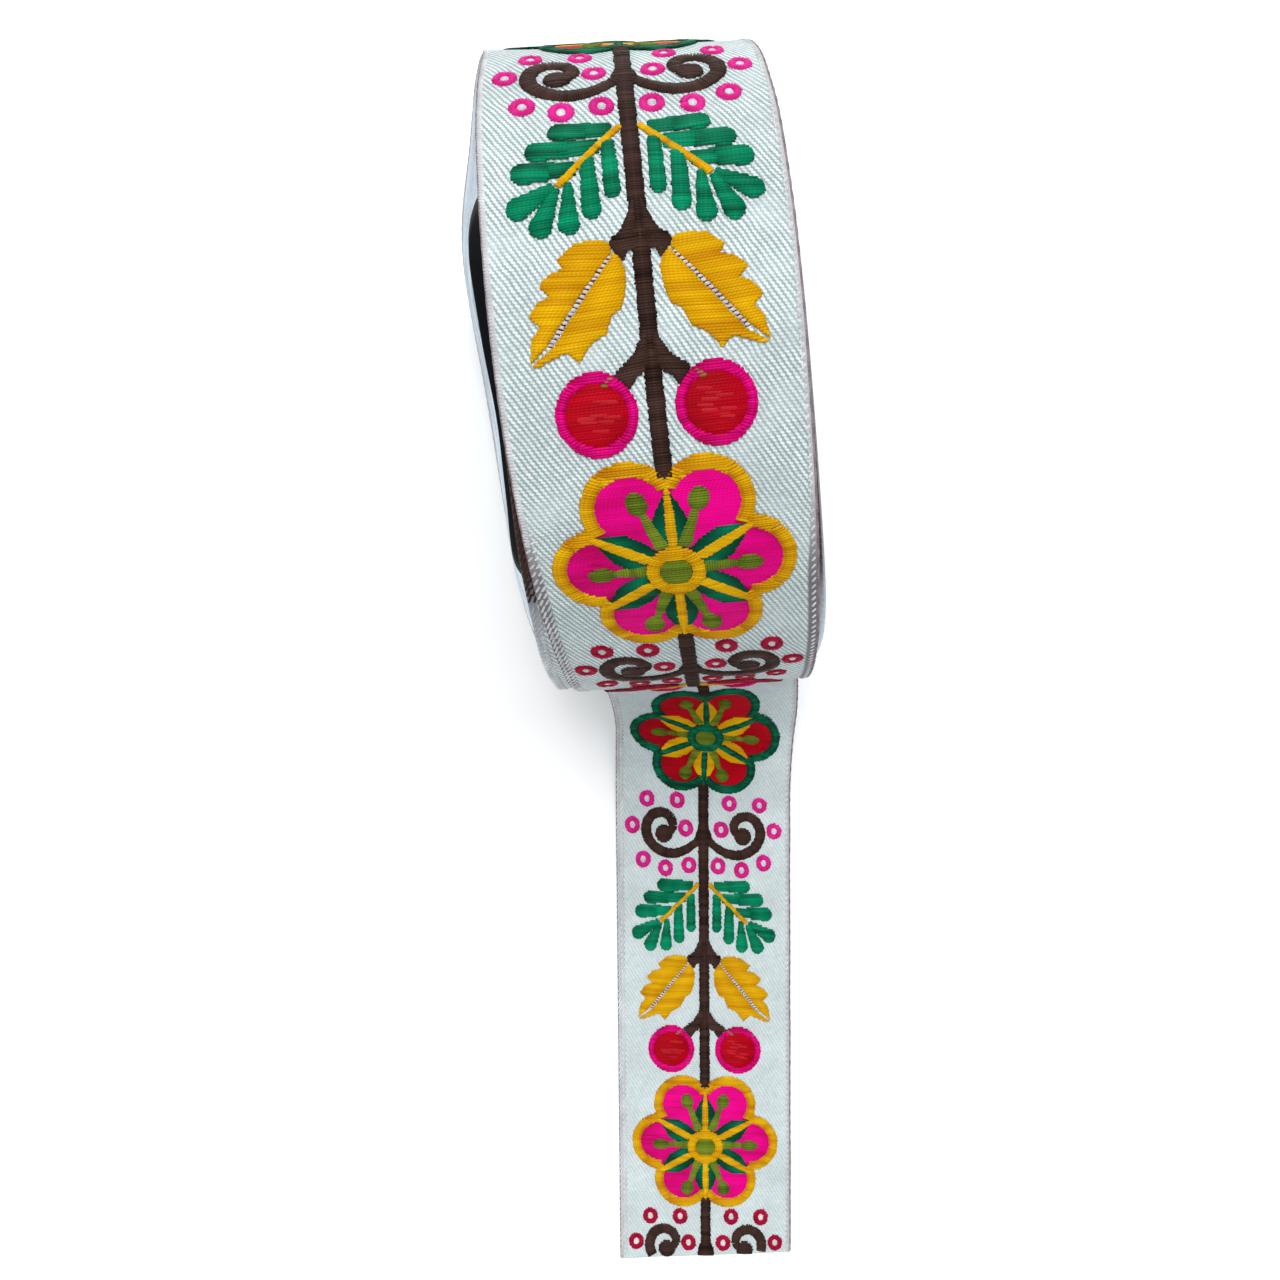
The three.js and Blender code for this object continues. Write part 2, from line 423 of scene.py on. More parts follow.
def blend_colours(tree, share, first, second):
    node = tree.nodes.new("ShaderNodeMix")
    node.data_type = "RGBA"
    for socket, value in zip((node.inputs[0], node.inputs[6], node.inputs[7]), (share, first, second)):
        if isinstance(value, (int, float, tuple)):
            socket.default_value = value
        else:
            tree.links.new(value, socket)
    return node.outputs[2]


print("node helpers: new_group, calculate and blend_colours")

# %% The weave group
DRIFT_SCALE = 0.28
CROWN_ACROSS, CROWN_ALONG = 2.55, 1.75
PLATEAU, DIMMEST_FLOAT = 2.1, 0.66

weave, ins, outs = new_group(
    "Weave",
    {"Plane": None, "Across": 1.03, "Along": 0.58, "Step": 0.333, "Wander": 0.55},
    ["Crown", "Bead"],
)
maths = partial(calculate, weave)
drift = weave.nodes.new("ShaderNodeTexNoise")
drift.inputs["Scale"].default_value = DRIFT_SCALE
drift.inputs["Detail"].default_value = 1
weave.links.new(ins.outputs["Plane"], drift.inputs["Vector"])
drift_parts = weave.nodes.new("ShaderNodeSeparateColor")
weave.links.new(drift.outputs["Color"], drift_parts.inputs[0])
parts = weave.nodes.new("ShaderNodeSeparateXYZ")
weave.links.new(ins.outputs["Plane"], parts.inputs[0])
wandered = [
    maths("ADD", place, maths("MULTIPLY", maths("SUBTRACT", noise, 0.5), ins.outputs["Wander"]))
    for place, noise in zip(parts.outputs, drift_parts.outputs[:2])
]
row = maths("DIVIDE", wandered[1], ins.outputs["Along"])
stepped = maths("MULTIPLY", row, ins.outputs["Step"])
line = maths("SUBTRACT", maths("DIVIDE", wandered[0], ins.outputs["Across"]), stepped)
across, along = [
    maths("POWER", maths("MULTIPLY", maths("SUBTRACT", maths("FRACT", place), 0.5), narrow), 2.0)
    for place, narrow in ((line, CROWN_ACROSS), (row, CROWN_ALONG))
]
crown = maths("SUBTRACT", 1.0, maths("ADD", across, along), clamp=True)
weave.links.new(crown, outs.inputs["Crown"])
cell = weave.nodes.new("ShaderNodeCombineXYZ")
weave.links.new(maths("FLOOR", line), cell.inputs[0])
weave.links.new(maths("FLOOR", row), cell.inputs[1])
chance = weave.nodes.new("ShaderNodeTexWhiteNoise")
chance.noise_dimensions = "2D"
weave.links.new(cell.outputs[0], chance.inputs["Vector"])
brightness = maths("MULTIPLY_ADD", chance.outputs["Value"], 1 - DIMMEST_FLOAT, DIMMEST_FLOAT)
plateau = maths("MULTIPLY", crown, PLATEAU, clamp=True)
weave.links.new(maths("MULTIPLY", plateau, brightness), outs.inputs["Bead"])
print("weave group with", len(weave.nodes), "nodes")

# %% The strand group
strand, ins, outs = new_group("Strand", {"Plane": None, "Twist": 9.0, "Lay": 5.0}, ["Shade", "Height"])
maths = partial(calculate, strand)
parts = strand.nodes.new("ShaderNodeSeparateXYZ")
strand.links.new(ins.outputs["Plane"], parts.inputs[0])
slanted = maths("ADD", maths("MULTIPLY", parts.outputs["X"], ins.outputs["Twist"]),
                maths("MULTIPLY", parts.outputs["Y"], ins.outputs["Lay"]))
ply = maths("SINE", slanted)
strand.links.new(maths("MULTIPLY_ADD", ply, 0.5, 0.5), outs.inputs["Height"])
# painted shade: the colour darkens a little in the grooves of the twist
strand.links.new(maths("MULTIPLY_ADD", ply, 0.08, 0.92), outs.inputs["Shade"])
print("strand group with", len(strand.nodes), "nodes")

# %% The soft variation group
soft_variation, ins, outs = new_group("Soft_variation", {"Size": 60.0, "Amount": 0.06}, ["Shade"])
maths = partial(calculate, soft_variation)
place = soft_variation.nodes.new("ShaderNodeTexCoord")
noise = soft_variation.nodes.new("ShaderNodeTexNoise")
noise.inputs["Detail"].default_value = 3
soft_variation.links.new(place.outputs["Object"], noise.inputs["Vector"])
soft_variation.links.new(ins.outputs["Size"], noise.inputs["Scale"])
swing = maths("MULTIPLY", maths("SUBTRACT", noise.outputs["Fac"], 0.5), ins.outputs["Amount"])
soft_variation.links.new(maths("MULTIPLY_ADD", swing, 2.0, 1.0), outs.inputs["Shade"])
print("handled group with", len(soft_variation.nodes), "nodes")

# %% [markdown]
# ## Materials
# The ground is a bright white satin twill: its floats catch the light, and the gaps between them carry a
# painted shade in a cool grey green. In patches the floats lie tighter, and on the loose end they are
# relaxed, so there the lines are faint. Soft patches of painted sheen lie over the cloth. A plain strip
# runs along both edges. It is light where the edge lies tight, and wider where the floats of the edge
# stand open. It is darker down the front of the roll, which is painted shade, and light again on the
# loose end. The edges of the outer turns carry a painted brown shade near the top of the roll.
# Embroidery thread is a shiny rayon, so it has a low roughness, a different tone for each stitch and a
# fine twist.


# %% Material helpers
def new_material(name, roughness, specular=0.5):
    material = bpy.data.materials.new(name)
    material.use_nodes = True
    tree = material.node_tree
    shader = tree.nodes["Principled BSDF"]
    shader.inputs["Roughness"].default_value = roughness
    shader.inputs["Specular IOR Level"].default_value = specular
    return material, tree, shader


def place_group(tree, group, **values):
    node = tree.nodes.new("ShaderNodeGroup")
    node.node_tree = group
    for label, value in values.items():
        node.inputs[label].default_value = value
    return node


def ribbon_plane(tree):
    node = tree.nodes.new("ShaderNodeUVMap")
    node.uv_map = "ribbon_plane"
    return node.outputs[0]


def point_tone(tree):
    node = tree.nodes.new("ShaderNodeAttribute")
    node.attribute_name = "tone"
    return node.outputs["Fac"]


def scaled(tree, colour, *shades):
    """Multiplies a colour by one or more shades."""
    for shade in shades:
        node = tree.nodes.new("ShaderNodeVectorMath")
        node.operation = "SCALE"
        if isinstance(colour, tuple):
            node.inputs[0].default_value = colour[:3]
        else:
            tree.links.new(colour, node.inputs[0])
        tree.links.new(shade, node.inputs["Scale"])
        colour = node.outputs[0]
    return colour


def bump(tree, shader, height, distance, strength=1.0):
    node = tree.nodes.new("ShaderNodeBump")
    node.inputs["Distance"].default_value = distance
    node.inputs["Strength"].default_value = strength
    tree.links.new(height, node.inputs["Height"])
    tree.links.new(node.outputs[0], shader.inputs["Normal"])


print("groups to place:", [group.name for group in (weave, strand, soft_variation)])

# %% Cloth material
SELVEDGE_LIGHT, SELVEDGE_DARK, EDGE_SHARPNESS = 0.9, 2.2, 2.5
RELAXED_FROM, RELAXING, RELAXED_SHARE = 95.0, 0.03, 0.74
TIGHT_BEAD = 0.66


def cloth_material(name, bead_colour, gap_colour, light_edge, dark_edge):
    """Twill ground with plainer edges. The tone attribute takes the edges from light to dark."""
    material, tree, shader = new_material(name, 0.5, specular=0.2)
    maths = partial(calculate, tree)
    plane = ribbon_plane(tree)
    woven = place_group(tree, weave)
    tree.links.new(plane, woven.inputs["Plane"])
    parts = tree.nodes.new("ShaderNodeSeparateXYZ")
    tree.links.new(plane, parts.inputs[0])
    relaxed = maths("MULTIPLY_ADD", parts.outputs["Y"], RELAXING, -RELAXING * RELAXED_FROM, clamp=True)
    tight = place_group(tree, soft_variation, Size=130.0, Amount=1.0)
    closed = maths("MULTIPLY_ADD", tight.outputs["Shade"], 0.8, -0.72, clamp=True)
    closed = maths("MAXIMUM", closed, maths("MULTIPLY", relaxed, RELAXED_SHARE))
    missing = maths("SUBTRACT", TIGHT_BEAD, woven.outputs["Bead"])
    bead = maths("MULTIPLY_ADD", closed, missing, woven.outputs["Bead"])
    ground = blend_colours(tree, bead, gap_colour, bead_colour)
    tone = point_tone(tree)
    edge = blend_colours(tree, tone, light_edge, dark_edge)
    width = maths("MULTIPLY_ADD", tone, SELVEDGE_DARK - SELVEDGE_LIGHT, SELVEDGE_LIGHT)
    beyond = maths("SUBTRACT", maths("ADD", maths("ABSOLUTE", parts.outputs["X"]), width), HALF_WIDTH)
    ground = blend_colours(tree, maths("MULTIPLY", beyond, EDGE_SHARPNESS, clamp=True), ground, edge)
    # painted sheen: soft lighter and darker patches over the whole cloth
    patches = place_group(tree, soft_variation, Size=90.0, Amount=0.20)
    threads = place_group(tree, soft_variation, Size=800.0, Amount=0.16)
    ground = scaled(tree, ground, patches.outputs["Shade"], threads.outputs["Shade"])
    tree.links.new(ground, shader.inputs["Base Color"])
    tree.links.new(maths("MULTIPLY_ADD", bead, -0.25, 0.65), shader.inputs["Roughness"])
    bump(tree, shader, woven.outputs["Crown"], 0.00010, 0.7)
    return material


# the gap colour is painted shade between the white floats
WHITE_BEAD, GAP_SHADE = (0.680, 0.745, 0.750, 1), (0.255, 0.320, 0.312, 1)
# the dark face edge colour is painted shade
FACE_EDGES = ((0.47, 0.48, 0.49, 1), (0.15, 0.15, 0.155, 1))
# the dark brown turn edge is painted shade near the top of the roll; random layer tones also draw on it
TURN_EDGES = ((0.70, 0.80, 0.87, 1), (0.045, 0.027, 0.025, 1))
face_cloth = cloth_material("face_cloth", WHITE_BEAD, GAP_SHADE, *FACE_EDGES)
turn_cloth = cloth_material("turn_cloth", WHITE_BEAD, GAP_SHADE, *TURN_EDGES)
print("two cloths")


# %% Thread material
def thread_material(name, light, dark, roughness=0.4):
    """Shiny thread. Each place of a stitch has a tone between a light and a dark colour."""
    material, tree, shader = new_material(name, roughness, specular=0.05)
    twisted = place_group(tree, strand)
    tree.links.new(ribbon_plane(tree), twisted.inputs["Plane"])
    colour = blend_colours(tree, point_tone(tree), (*light, 1), (*dark, 1))
    shade = place_group(tree, soft_variation, Size=240.0, Amount=0.14)
    colour = scaled(tree, colour, shade.outputs["Shade"], twisted.outputs["Shade"])
    tree.links.new(colour, shader.inputs["Base Color"])
    bump(tree, shader, twisted.outputs["Height"], 0.00003, 0.6)
    return material


THREADS = {
    "brown": ((0.062, 0.030, 0.023), (0.0135, 0.0055, 0.004)),
    "green": ((0.000, 0.270, 0.125), (0.000, 0.040, 0.018)),
    "gold": ((0.740, 0.435, 0.001), (0.440, 0.150, 0.000)),
    "red": ((0.450, 0.000, 0.009), (0.170, 0.000, 0.002)),
    "rose": ((0.450, 0.016, 0.020), (0.360, 0.004, 0.010)),
    "magenta": ((0.780, 0.000, 0.230), (0.330, 0.000, 0.045)),
    "pink": ((0.700, 0.020, 0.270), (0.420, 0.003, 0.120)),
    "crimson": ((0.400, 0.003, 0.038), (0.180, 0.000, 0.009)),
    "olive": ((0.180, 0.245, 0.016), (0.045, 0.075, 0.004)),
    "white": ((0.700, 0.700, 0.710), (0.420, 0.360, 0.385)),
}
thread_materials = {name: thread_material(f"{name}_thread", *pair) for name, pair in THREADS.items()}
selvedge_material = thread_material("selvedge_thread", (0.70, 0.71, 0.72), (0.36, 0.355, 0.365), 0.5)
cord_material = thread_material("edge_cord", (0.31, 0.245, 0.255), (0.15, 0.107, 0.112), 0.6)
print(len(thread_materials) + 2, "thread materials")

# %% [markdown]
# ## The core tube
# A card tube, printed or painted matt black. Only its left end shows, as a black band between the near
# turns and the far ones. That end isn't cut true: it bulges out and draws in by two or three millimetres,
# so the tube is drawn as a ring of sections with that wave. It takes the place of the plain tube of the
# solids.

# %% The core tube
CORE_END_WAVES = ((-2.1, 250, 26), (1.5, 183, 24), (-2.6, 118, 26))
CORE_COLOUR = (0.004, 0.0045, 0.0065)
ROUNDING = 0.35

core_material, tree, shader = new_material("core_board", 0.75, specular=0.1)
shade = place_group(tree, soft_variation, Size=120.0, Amount=0.4)
tree.links.new(scaled(tree, CORE_COLOUR, shade.outputs["Shade"]), shader.inputs["Base Color"])

core_turns = np.radians(np.arange(0, 360, 2))
core_middle = plain_slip(core_turns, CORE_OUTER_RADIUS) + CORE_OFFSET
left_end = core_middle - CORE_WIDTH / 2 + waves(core_turns, CORE_END_WAVES)
right_end = core_middle + CORE_WIDTH / 2
corners = [
    (left_end, CORE_BORE_RADIUS + ROUNDING), (left_end, CORE_OUTER_RADIUS - ROUNDING),
    (left_end + ROUNDING, CORE_OUTER_RADIUS), (right_end - ROUNDING, CORE_OUTER_RADIUS),
    (right_end, CORE_OUTER_RADIUS - ROUNDING), (right_end, CORE_BORE_RADIUS + ROUNDING),
    (right_end - ROUNDING, CORE_BORE_RADIUS), (left_end + ROUNDING, CORE_BORE_RADIUS),
]
points = np.stack([on_roll(x, core_turns, radius) for x, radius in corners], 1)
n = np.arange(len(core_turns))[:, None] * len(corners)
onwards = np.roll(n, -1, axis=0)
j = np.arange(len(corners))[None, :]
k = (j + 1) % len(corners)
core_faces = np.stack([n + j, n + k, onwards + k, onwards + j], -1)
core = new_piece("core_ring", points, core_faces, core_material)
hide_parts("core_tube")
print("core ends from", left_end.min().round(1), "to", right_end.max().round(1), "mm")

# %% [markdown]
# ## The wound turns
# About thirty turns of ribbon lie between the core and the outer turn. Each is drawn as cloth of its own
# thickness on one long spiral, so that the side faces of the roll show real layers. No two turns lie
# exactly over each other, so every turn gets a small sideways offset of its own, on top of the way in
# which the whole roll has slipped. The turn just below the outer one peeps out at the left, low at the
# front. The edges of the last few turns carry a painted brown shade near the top of the roll, and are
# plain elsewhere.

# %% The wound turns
STEPS_A_TURN = 120
JOIN_GAP = 0.0005
BAND_DEPTHS = [0, 0.22, 0.28, 0.5, 0.56, 0.75, 0.8, 1]
BAND_OFFSETS = [-0.9, -0.9, -0.4, -0.4, -0.8, -0.8, -0.1, 0.1]
LOOSE_DEPTHS, LOOSENESS = [0, 0.8, 1], [0.34, 0.22, 0.05]
NEAR_SWELL, TUCK = ((1.5, 5, 80),), ((3.2, 72, 34),)
PEEPS = ((0.8, 331, 15), (-0.9, 36, 13), (-1.8, 60, 18))
# painted shade: where the edges of the outer turns are painted brown
SHADES = ((1.6, 18, 30), (1.6, 320, 30))
SHADED_DEPTH, SHADE_FADE, LAYER_SHADE = 3.6, 1.2, 0.34
OUTER_TURNS, LAST_TURN, NEAR_OFFSET = 0.93, 0.92, 0.9
SOFTLY, QUICKLY, AT_ONCE = 12, 40, 60
KNOTS_A_TURN, LAYERS_A_KNOT = 3, 6

INNER_RADIUS = CORE_OUTER_RADIUS + AIR_GAP + CLOTH / 2
turns_below = (spiral_radius(face_turns[0]) - INNER_RADIUS) / TURN_PITCH
wound_start, wound_end = face_turns[0] - turns_below * FULL_TURN, face_turns[0] - JOIN_GAP
wound_turns = np.linspace(wound_start, wound_end, round(turns_below * STEPS_A_TURN) + 1)

rng = np.random.default_rng(11)
knot_count = int(turns_below * KNOTS_A_TURN) + 6
knots = rng.normal(0, 1, knot_count)
knots_at = np.linspace(wound_turns[0], wound_turns[-1], knot_count)


def wound_middle(turn):
    """Sideways place of a wound turn: the deep turns stand out at the back and are tucked in at the front."""
    radius = spiral_radius(turn)
    depth = (radius - INNER_RADIUS) / (ROLL_RADIUS - INNER_RADIUS)
    near = np.clip(waves(turn, NEAR_SWELL), 0, 1)
    bands = np.interp(depth, BAND_DEPTHS, BAND_OFFSETS) * (1 - near)
    bands += NEAR_OFFSET * near * np.clip((OUTER_TURNS - depth) * SOFTLY, 0, 1)
    loose = np.interp(depth, LOOSE_DEPTHS, LOOSENESS) * np.interp(turn, knots_at, knots)
    peep = waves(turn, PEEPS) * np.clip((depth - LAST_TURN) * AT_ONCE, 0, 1)
    tucked = waves(turn, TUCK) * np.clip((OUTER_TURNS - depth) * QUICKLY, 0, 1)
    return slip(turn, radius) + bands + loose + peep + tucked


section_u, section_height = section(3)
radius = spiral_radius(wound_turns)
middle = wound_middle(wound_turns)[:, None] + section_u
points = settle(on_roll(middle, wound_turns[:, None] + 0 * middle, radius[:, None] + section_height))
wound_plane = np.stack([section_u + 0 * middle, (radius * wound_turns)[:, None] + 0 * middle], -1)
# painted brown shade on the outer turns' edges near the top, plus a random tone for each layer
shaded = waves(wound_turns, SHADES) * np.clip((radius - ROLL_RADIUS + SHADED_DEPTH) / SHADE_FADE, 0, 1)
layer_count = LAYERS_A_KNOT * knot_count
layers_at = np.linspace(wound_turns[0], wound_turns[-1], layer_count)
layers = np.interp(wound_turns, layers_at, rng.uniform(0, LAYER_SHADE, layer_count))
wound_tone = np.clip(shaded + layers, 0, 1)[:, None] + 0 * middle
wound_faces = band_faces(len(wound_turns), len(section_u))
wound = new_piece("wound_turns", points, wound_faces, turn_cloth, plane=wound_plane, tone=wound_tone)
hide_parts("ribbon_roll")

# %% [markdown]
# ## The ribbon's face
# The outer turn and the loose end are one strip of cloth. It is a closed mesh with a real thickness, fine
# enough to follow the bend and the ripples at its edges.

# %% The ribbon's face
FACE_STEP = 1.5
DARKER_BETWEEN, LIGHTER_BETWEEN = (26, 50), (95, 125)

face_lengths = np.append(np.arange(FACE_START, FACE_END, FACE_STEP), FACE_END)
section_u, section_height = section(31)
grid_u = section_u + 0 * face_lengths[:, None]
grid_s = face_lengths[:, None] + 0 * section_u
points = lay(grid_u, grid_s, section_height + 0 * grid_u)
# painted shade: the edge strip darkens down the front of the roll and lightens again on the loose end; its
# width grows with it, where the floats stand open
edge_tone = 0.10 + 0.90 * step_up(grid_s, *DARKER_BETWEEN) - 0.80 * step_up(grid_s, *LIGHTER_BETWEEN)
weft_plane = np.stack([grid_u, grid_s - weft_shift(grid_u, grid_s)], -1)
face_faces = band_faces(len(face_lengths), len(section_u))
face = new_piece("ribbon_face", points, face_faces, face_cloth, plane=weft_plane, tone=edge_tone)
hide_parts("ribbon_loose_end")
print("face of", len(face.data.polygons), "faces")

# %% [markdown]
# ## Stitches
# Every coloured place is covered by floats of thread that lie side by side. At the sides of a round shape
# they fan out a little, so that their ends meet the outline more squarely and make its saw-tooth edge. Each
# float is a stitch here, with two ends in the ribbon's plane, so that every thread is real geometry. A
# stitch that lies on others starts from their height, which is its base. Three helpers lay them: `column`
# across a line, `fill` in rows inside an outline, and `border` round a disc.

# %% Stitch lists
THREAD_PITCH, THREAD_WIDTH = 0.45, 0.60
BOLD, SMOOTH = 0.24, 0.09
SIDES = (-1, 1)
motif = {}


def stitch(colour, start, end, height, relief=BOLD, base=0.0, tones=(0.0, 0.0)):
    """tones make the start and the end of a stitch darker."""
    motif.setdefault(colour, []).append((*start, *end, height, relief, base, *tones))


def round_line(points, closed=False, steps=8):
    """A smooth line through a few points, as a chain of cubic curves."""
    points = np.asarray(points, float)
    before, after = 2 * points[:1] - points[1:2], 2 * points[-1:] - points[-2:-1]
    if closed:
        before, after = points[-1:], points[:2]
    padded = np.concatenate([before, points, after])
    k = np.linspace(0, 1, steps, endpoint=False)[:, None]
    pieces = [
        0.5 * (2 * b + (c - a) * k + (2 * a - 5 * b + 4 * c - d) * k**2 + (3 * b - a - 3 * c + d) * k**3)
        for a, b, c, d in zip(padded, padded[1:], padded[2:], padded[3:])
    ]
    return np.concatenate(pieces if closed else [*pieces, points[-1:]])


def ellipse(u, v, across, along, start=0.0, end=360.0, count=37):
    angle = np.radians(np.linspace(start, end, count))
    return np.stack([u + across * np.cos(angle), v + along * np.sin(angle)], -1)


print("threads lie", THREAD_PITCH, "mm apart and are", THREAD_WIDTH, "mm wide")

# %% Columns along a line
LOW_SHARE, FULL_FROM_END, LEAST_FACING = 0.6, 1.2, 0.45


def end_share(from_end):
    """Near the ends of a shape its stitches lie lower."""
    return np.minimum(1, LOW_SHARE + from_end / FULL_FROM_END)


def column(colour, line, half_width, height, level=0.0, closed=False, pitch=THREAD_PITCH, **how):
    """Stitches across a line. level turns them from square to the line towards level."""
    line = np.asarray(line, float)
    if closed:
        line = np.concatenate([line, line[:1]])
    length = lengths_along(line)
    count = max(3, round(length[-1] / pitch))
    at = (np.arange(count) + 0.5) * length[-1] / count
    place = np.stack([np.interp(at, length, line[:, axis]) for axis in (0, 1)], -1)
    tangents = unit(np.diff(line, axis=0) + 1e-9)
    middles = (length[1:] + length[:-1]) / 2
    tangent = unit(np.stack([np.interp(at, middles, tangents[:, axis]) for axis in (0, 1)], -1))
    normal = np.stack([-tangent[:, 1], tangent[:, 0]], -1)
    facing = np.where(normal[:, :1] < 0, -1, 1)
    direction = unit((1 - level) * normal + level * facing * [1.0, 0.0])
    half_width = np.interp(at, np.linspace(0, length[-1], np.size(half_width)), np.atleast_1d(half_width))
    reach = half_width / np.maximum((direction * normal).sum(1), LEAST_FACING)
    crest = height + 0 * at if closed else height * end_share(np.minimum(at, length[-1] - at))
    for middle, offset, top in zip(place, direction * reach[:, None], crest):
        stitch(colour, middle - offset, middle + offset, top, **how)


print("a column's first stitch has", round(end_share(THREAD_PITCH / 2), 2), "of the full height")

# %% Fills of an outline
BITE_SCATTER, BITE_OVERLAP = 0.3, 0.5


def split(left, right, longest):
    """A long row is made in two or more bites, which overlap at uneven places."""
    bites = max(1, math.ceil((right - left) / longest))
    cuts = np.linspace(left, right, bites + 1)
    cuts[1:-1] += rng.uniform(-BITE_SCATTER, BITE_SCATTER, bites - 1) * (right - left) / bites
    return [(max(left, start - BITE_OVERLAP), end) for start, end in zip(cuts[:-1], cuts[1:])]


def fill(colour, outline, height, slant=0.0, longest=14.0, **how):
    """Rows of floats inside an outline. slant turns the rows, in degrees."""
    turn = math.radians(slant)
    rows_to_plane = np.array([[math.cos(turn), -math.sin(turn)], [math.sin(turn), math.cos(turn)]])
    outline = np.asarray(outline) @ rows_to_plane
    following = np.roll(outline, -1, axis=0)
    low, high = outline[:, 1].min(), outline[:, 1].max()
    count = max(2, round((high - low) / THREAD_PITCH))
    for y in low + (np.arange(count) + 0.5) * (high - low) / count:
        crossing = (outline[:, 1] > y) != (following[:, 1] > y)
        a, b = outline[crossing], following[crossing]
        x = np.sort(a[:, 0] + (y - a[:, 1]) * (b[:, 0] - a[:, 0]) / (b[:, 1] - a[:, 1]))
        crest = height * end_share(min(y - low, high - y))
        for left, right in zip(x[::2], x[1::2]):
            for start, end in split(left, right, longest):
                ends = np.array([[start, y], [end, y]]) @ rows_to_plane.T
                stitch(colour, ends[0], ends[1], crest, **how)


print("a fill has", round(10 / THREAD_PITCH), "rows in 10 mm")

# %% Round borders
FAN, SIDE_SHARE = 0.6, 0.78
CAP_OVERLAP, CAP_STEP, FEWEST_ANGLES = 2, 3, 4
INNER_LIMIT = 0.98
print("level floats cover", SIDE_SHARE, "of a ring's half height, and upright ones the rest")


def border(colour, centre, outer, inner, height, facing=0.0, opening=180.0, tall=1.0, **how):
    """Floats round a ring, or round the part of it that lies within an angle of where it faces."""
    squash = np.array([1.0, tall])

    def within(angle):
        return np.abs((angle - facing + 180) % 360 - 180) <= opening

    inwards = 1 - FAN * (1 - inner / outer)
    for y in np.arange(-SIDE_SHARE * outer, SIDE_SHARE * outer, THREAD_PITCH):
        y_inner = np.clip(y * inwards, -INNER_LIMIT * inner, INNER_LIMIT * inner)
        for side in SIDES:
            x = side * math.sqrt(outer**2 - y**2)
            x_inner = side * math.sqrt(inner**2 - y_inner**2)
            if within(math.degrees(math.atan2(y, x))):
                stitch(colour, centre + squash * (x_inner, y_inner), centre + squash * (x, y), height, **how)
    half_cap = math.degrees(math.acos(SIDE_SHARE)) + CAP_OVERLAP
    for top in (-90, 90):
        angles = np.arange(top - half_cap, top + half_cap + 1, CAP_STEP)
        angles = np.radians(angles[within(angles)])
        if len(angles) >= FEWEST_ANGLES:
            rim = np.stack([np.cos(angles), np.sin(angles)], -1)
            cap = centre + squash * np.concatenate([outer * rim, inner * rim[::-1]])
            fill(colour, cap, height, **how)


# %% [markdown]
# ## The pattern
# One half repeat runs from a flower down its stem to the next flower: a scroll with small rings, a spray
# of leaflets, a pair of toothed leaves and a pair of cherries. The two halves have the same drawing in
# other colours. u is 0 on the stem and v is 0 at the flower's centre, both in millimetres. Flat thread
# lies under the whole flower, so no ground shows in the notches between its petals.

# %% The flower
LOBES_V = -1.4
LOBE_DISTANCE, LOBE_RADIUS, OUTLINE_WIDTH = 12.95, 8.3, 2.6
PETAL_FOOT = [(3.6, -0.6)]
RAY_SIDE = [(15.6, 0.0), (12.9, 1.7), (10.3, 3.0), (7.4, 3.0), (4.4, 2.2)]
VEIN_REACH = (4.6, 10, 16.0)
VEIN_WIDTHS = [0.85, 0.95, 0.95, 0.75, 0.4]
STAMENS_V, UNDERLAY = -0.5, 15.4
UNDERLAY_TOP, PETAL_TOP, STAR_TOP, OUTLINE_TOP, VEIN_TOP = 0.14, 0.28, 0.42, 0.52, 0.64
STALK_TOP, KNOB_TOP, RING_TOP, EYE_TOP = 0.54, 0.60, 0.82, 0.90
ON_PETAL, ON_STAR, ON_STALKS = 0.27, 0.36, 0.40
# painted sheen: each petal's floats lie another way, so each petal is a little lighter or darker
PETAL_SHEEN = [(0, 0.0), (60, -0.15), (120, 0.1), (180, 0.3), (240, -0.1), (300, -0.4)]


def polar(distance, degrees, v=LOBES_V):
    angle = math.radians(degrees)
    return np.array([distance * math.cos(angle), v + distance * math.sin(angle)])


def turned(points, degrees):
    """Turns a drawing that points along +u round the origin."""
    sine, cosine = math.sin(math.radians(degrees)), math.cos(math.radians(degrees))
    return np.asarray(points) @ np.array([[cosine, sine], [-sine, cosine]])


def mirrored_along(points):
    return np.asarray(points, float) * [1, -1]


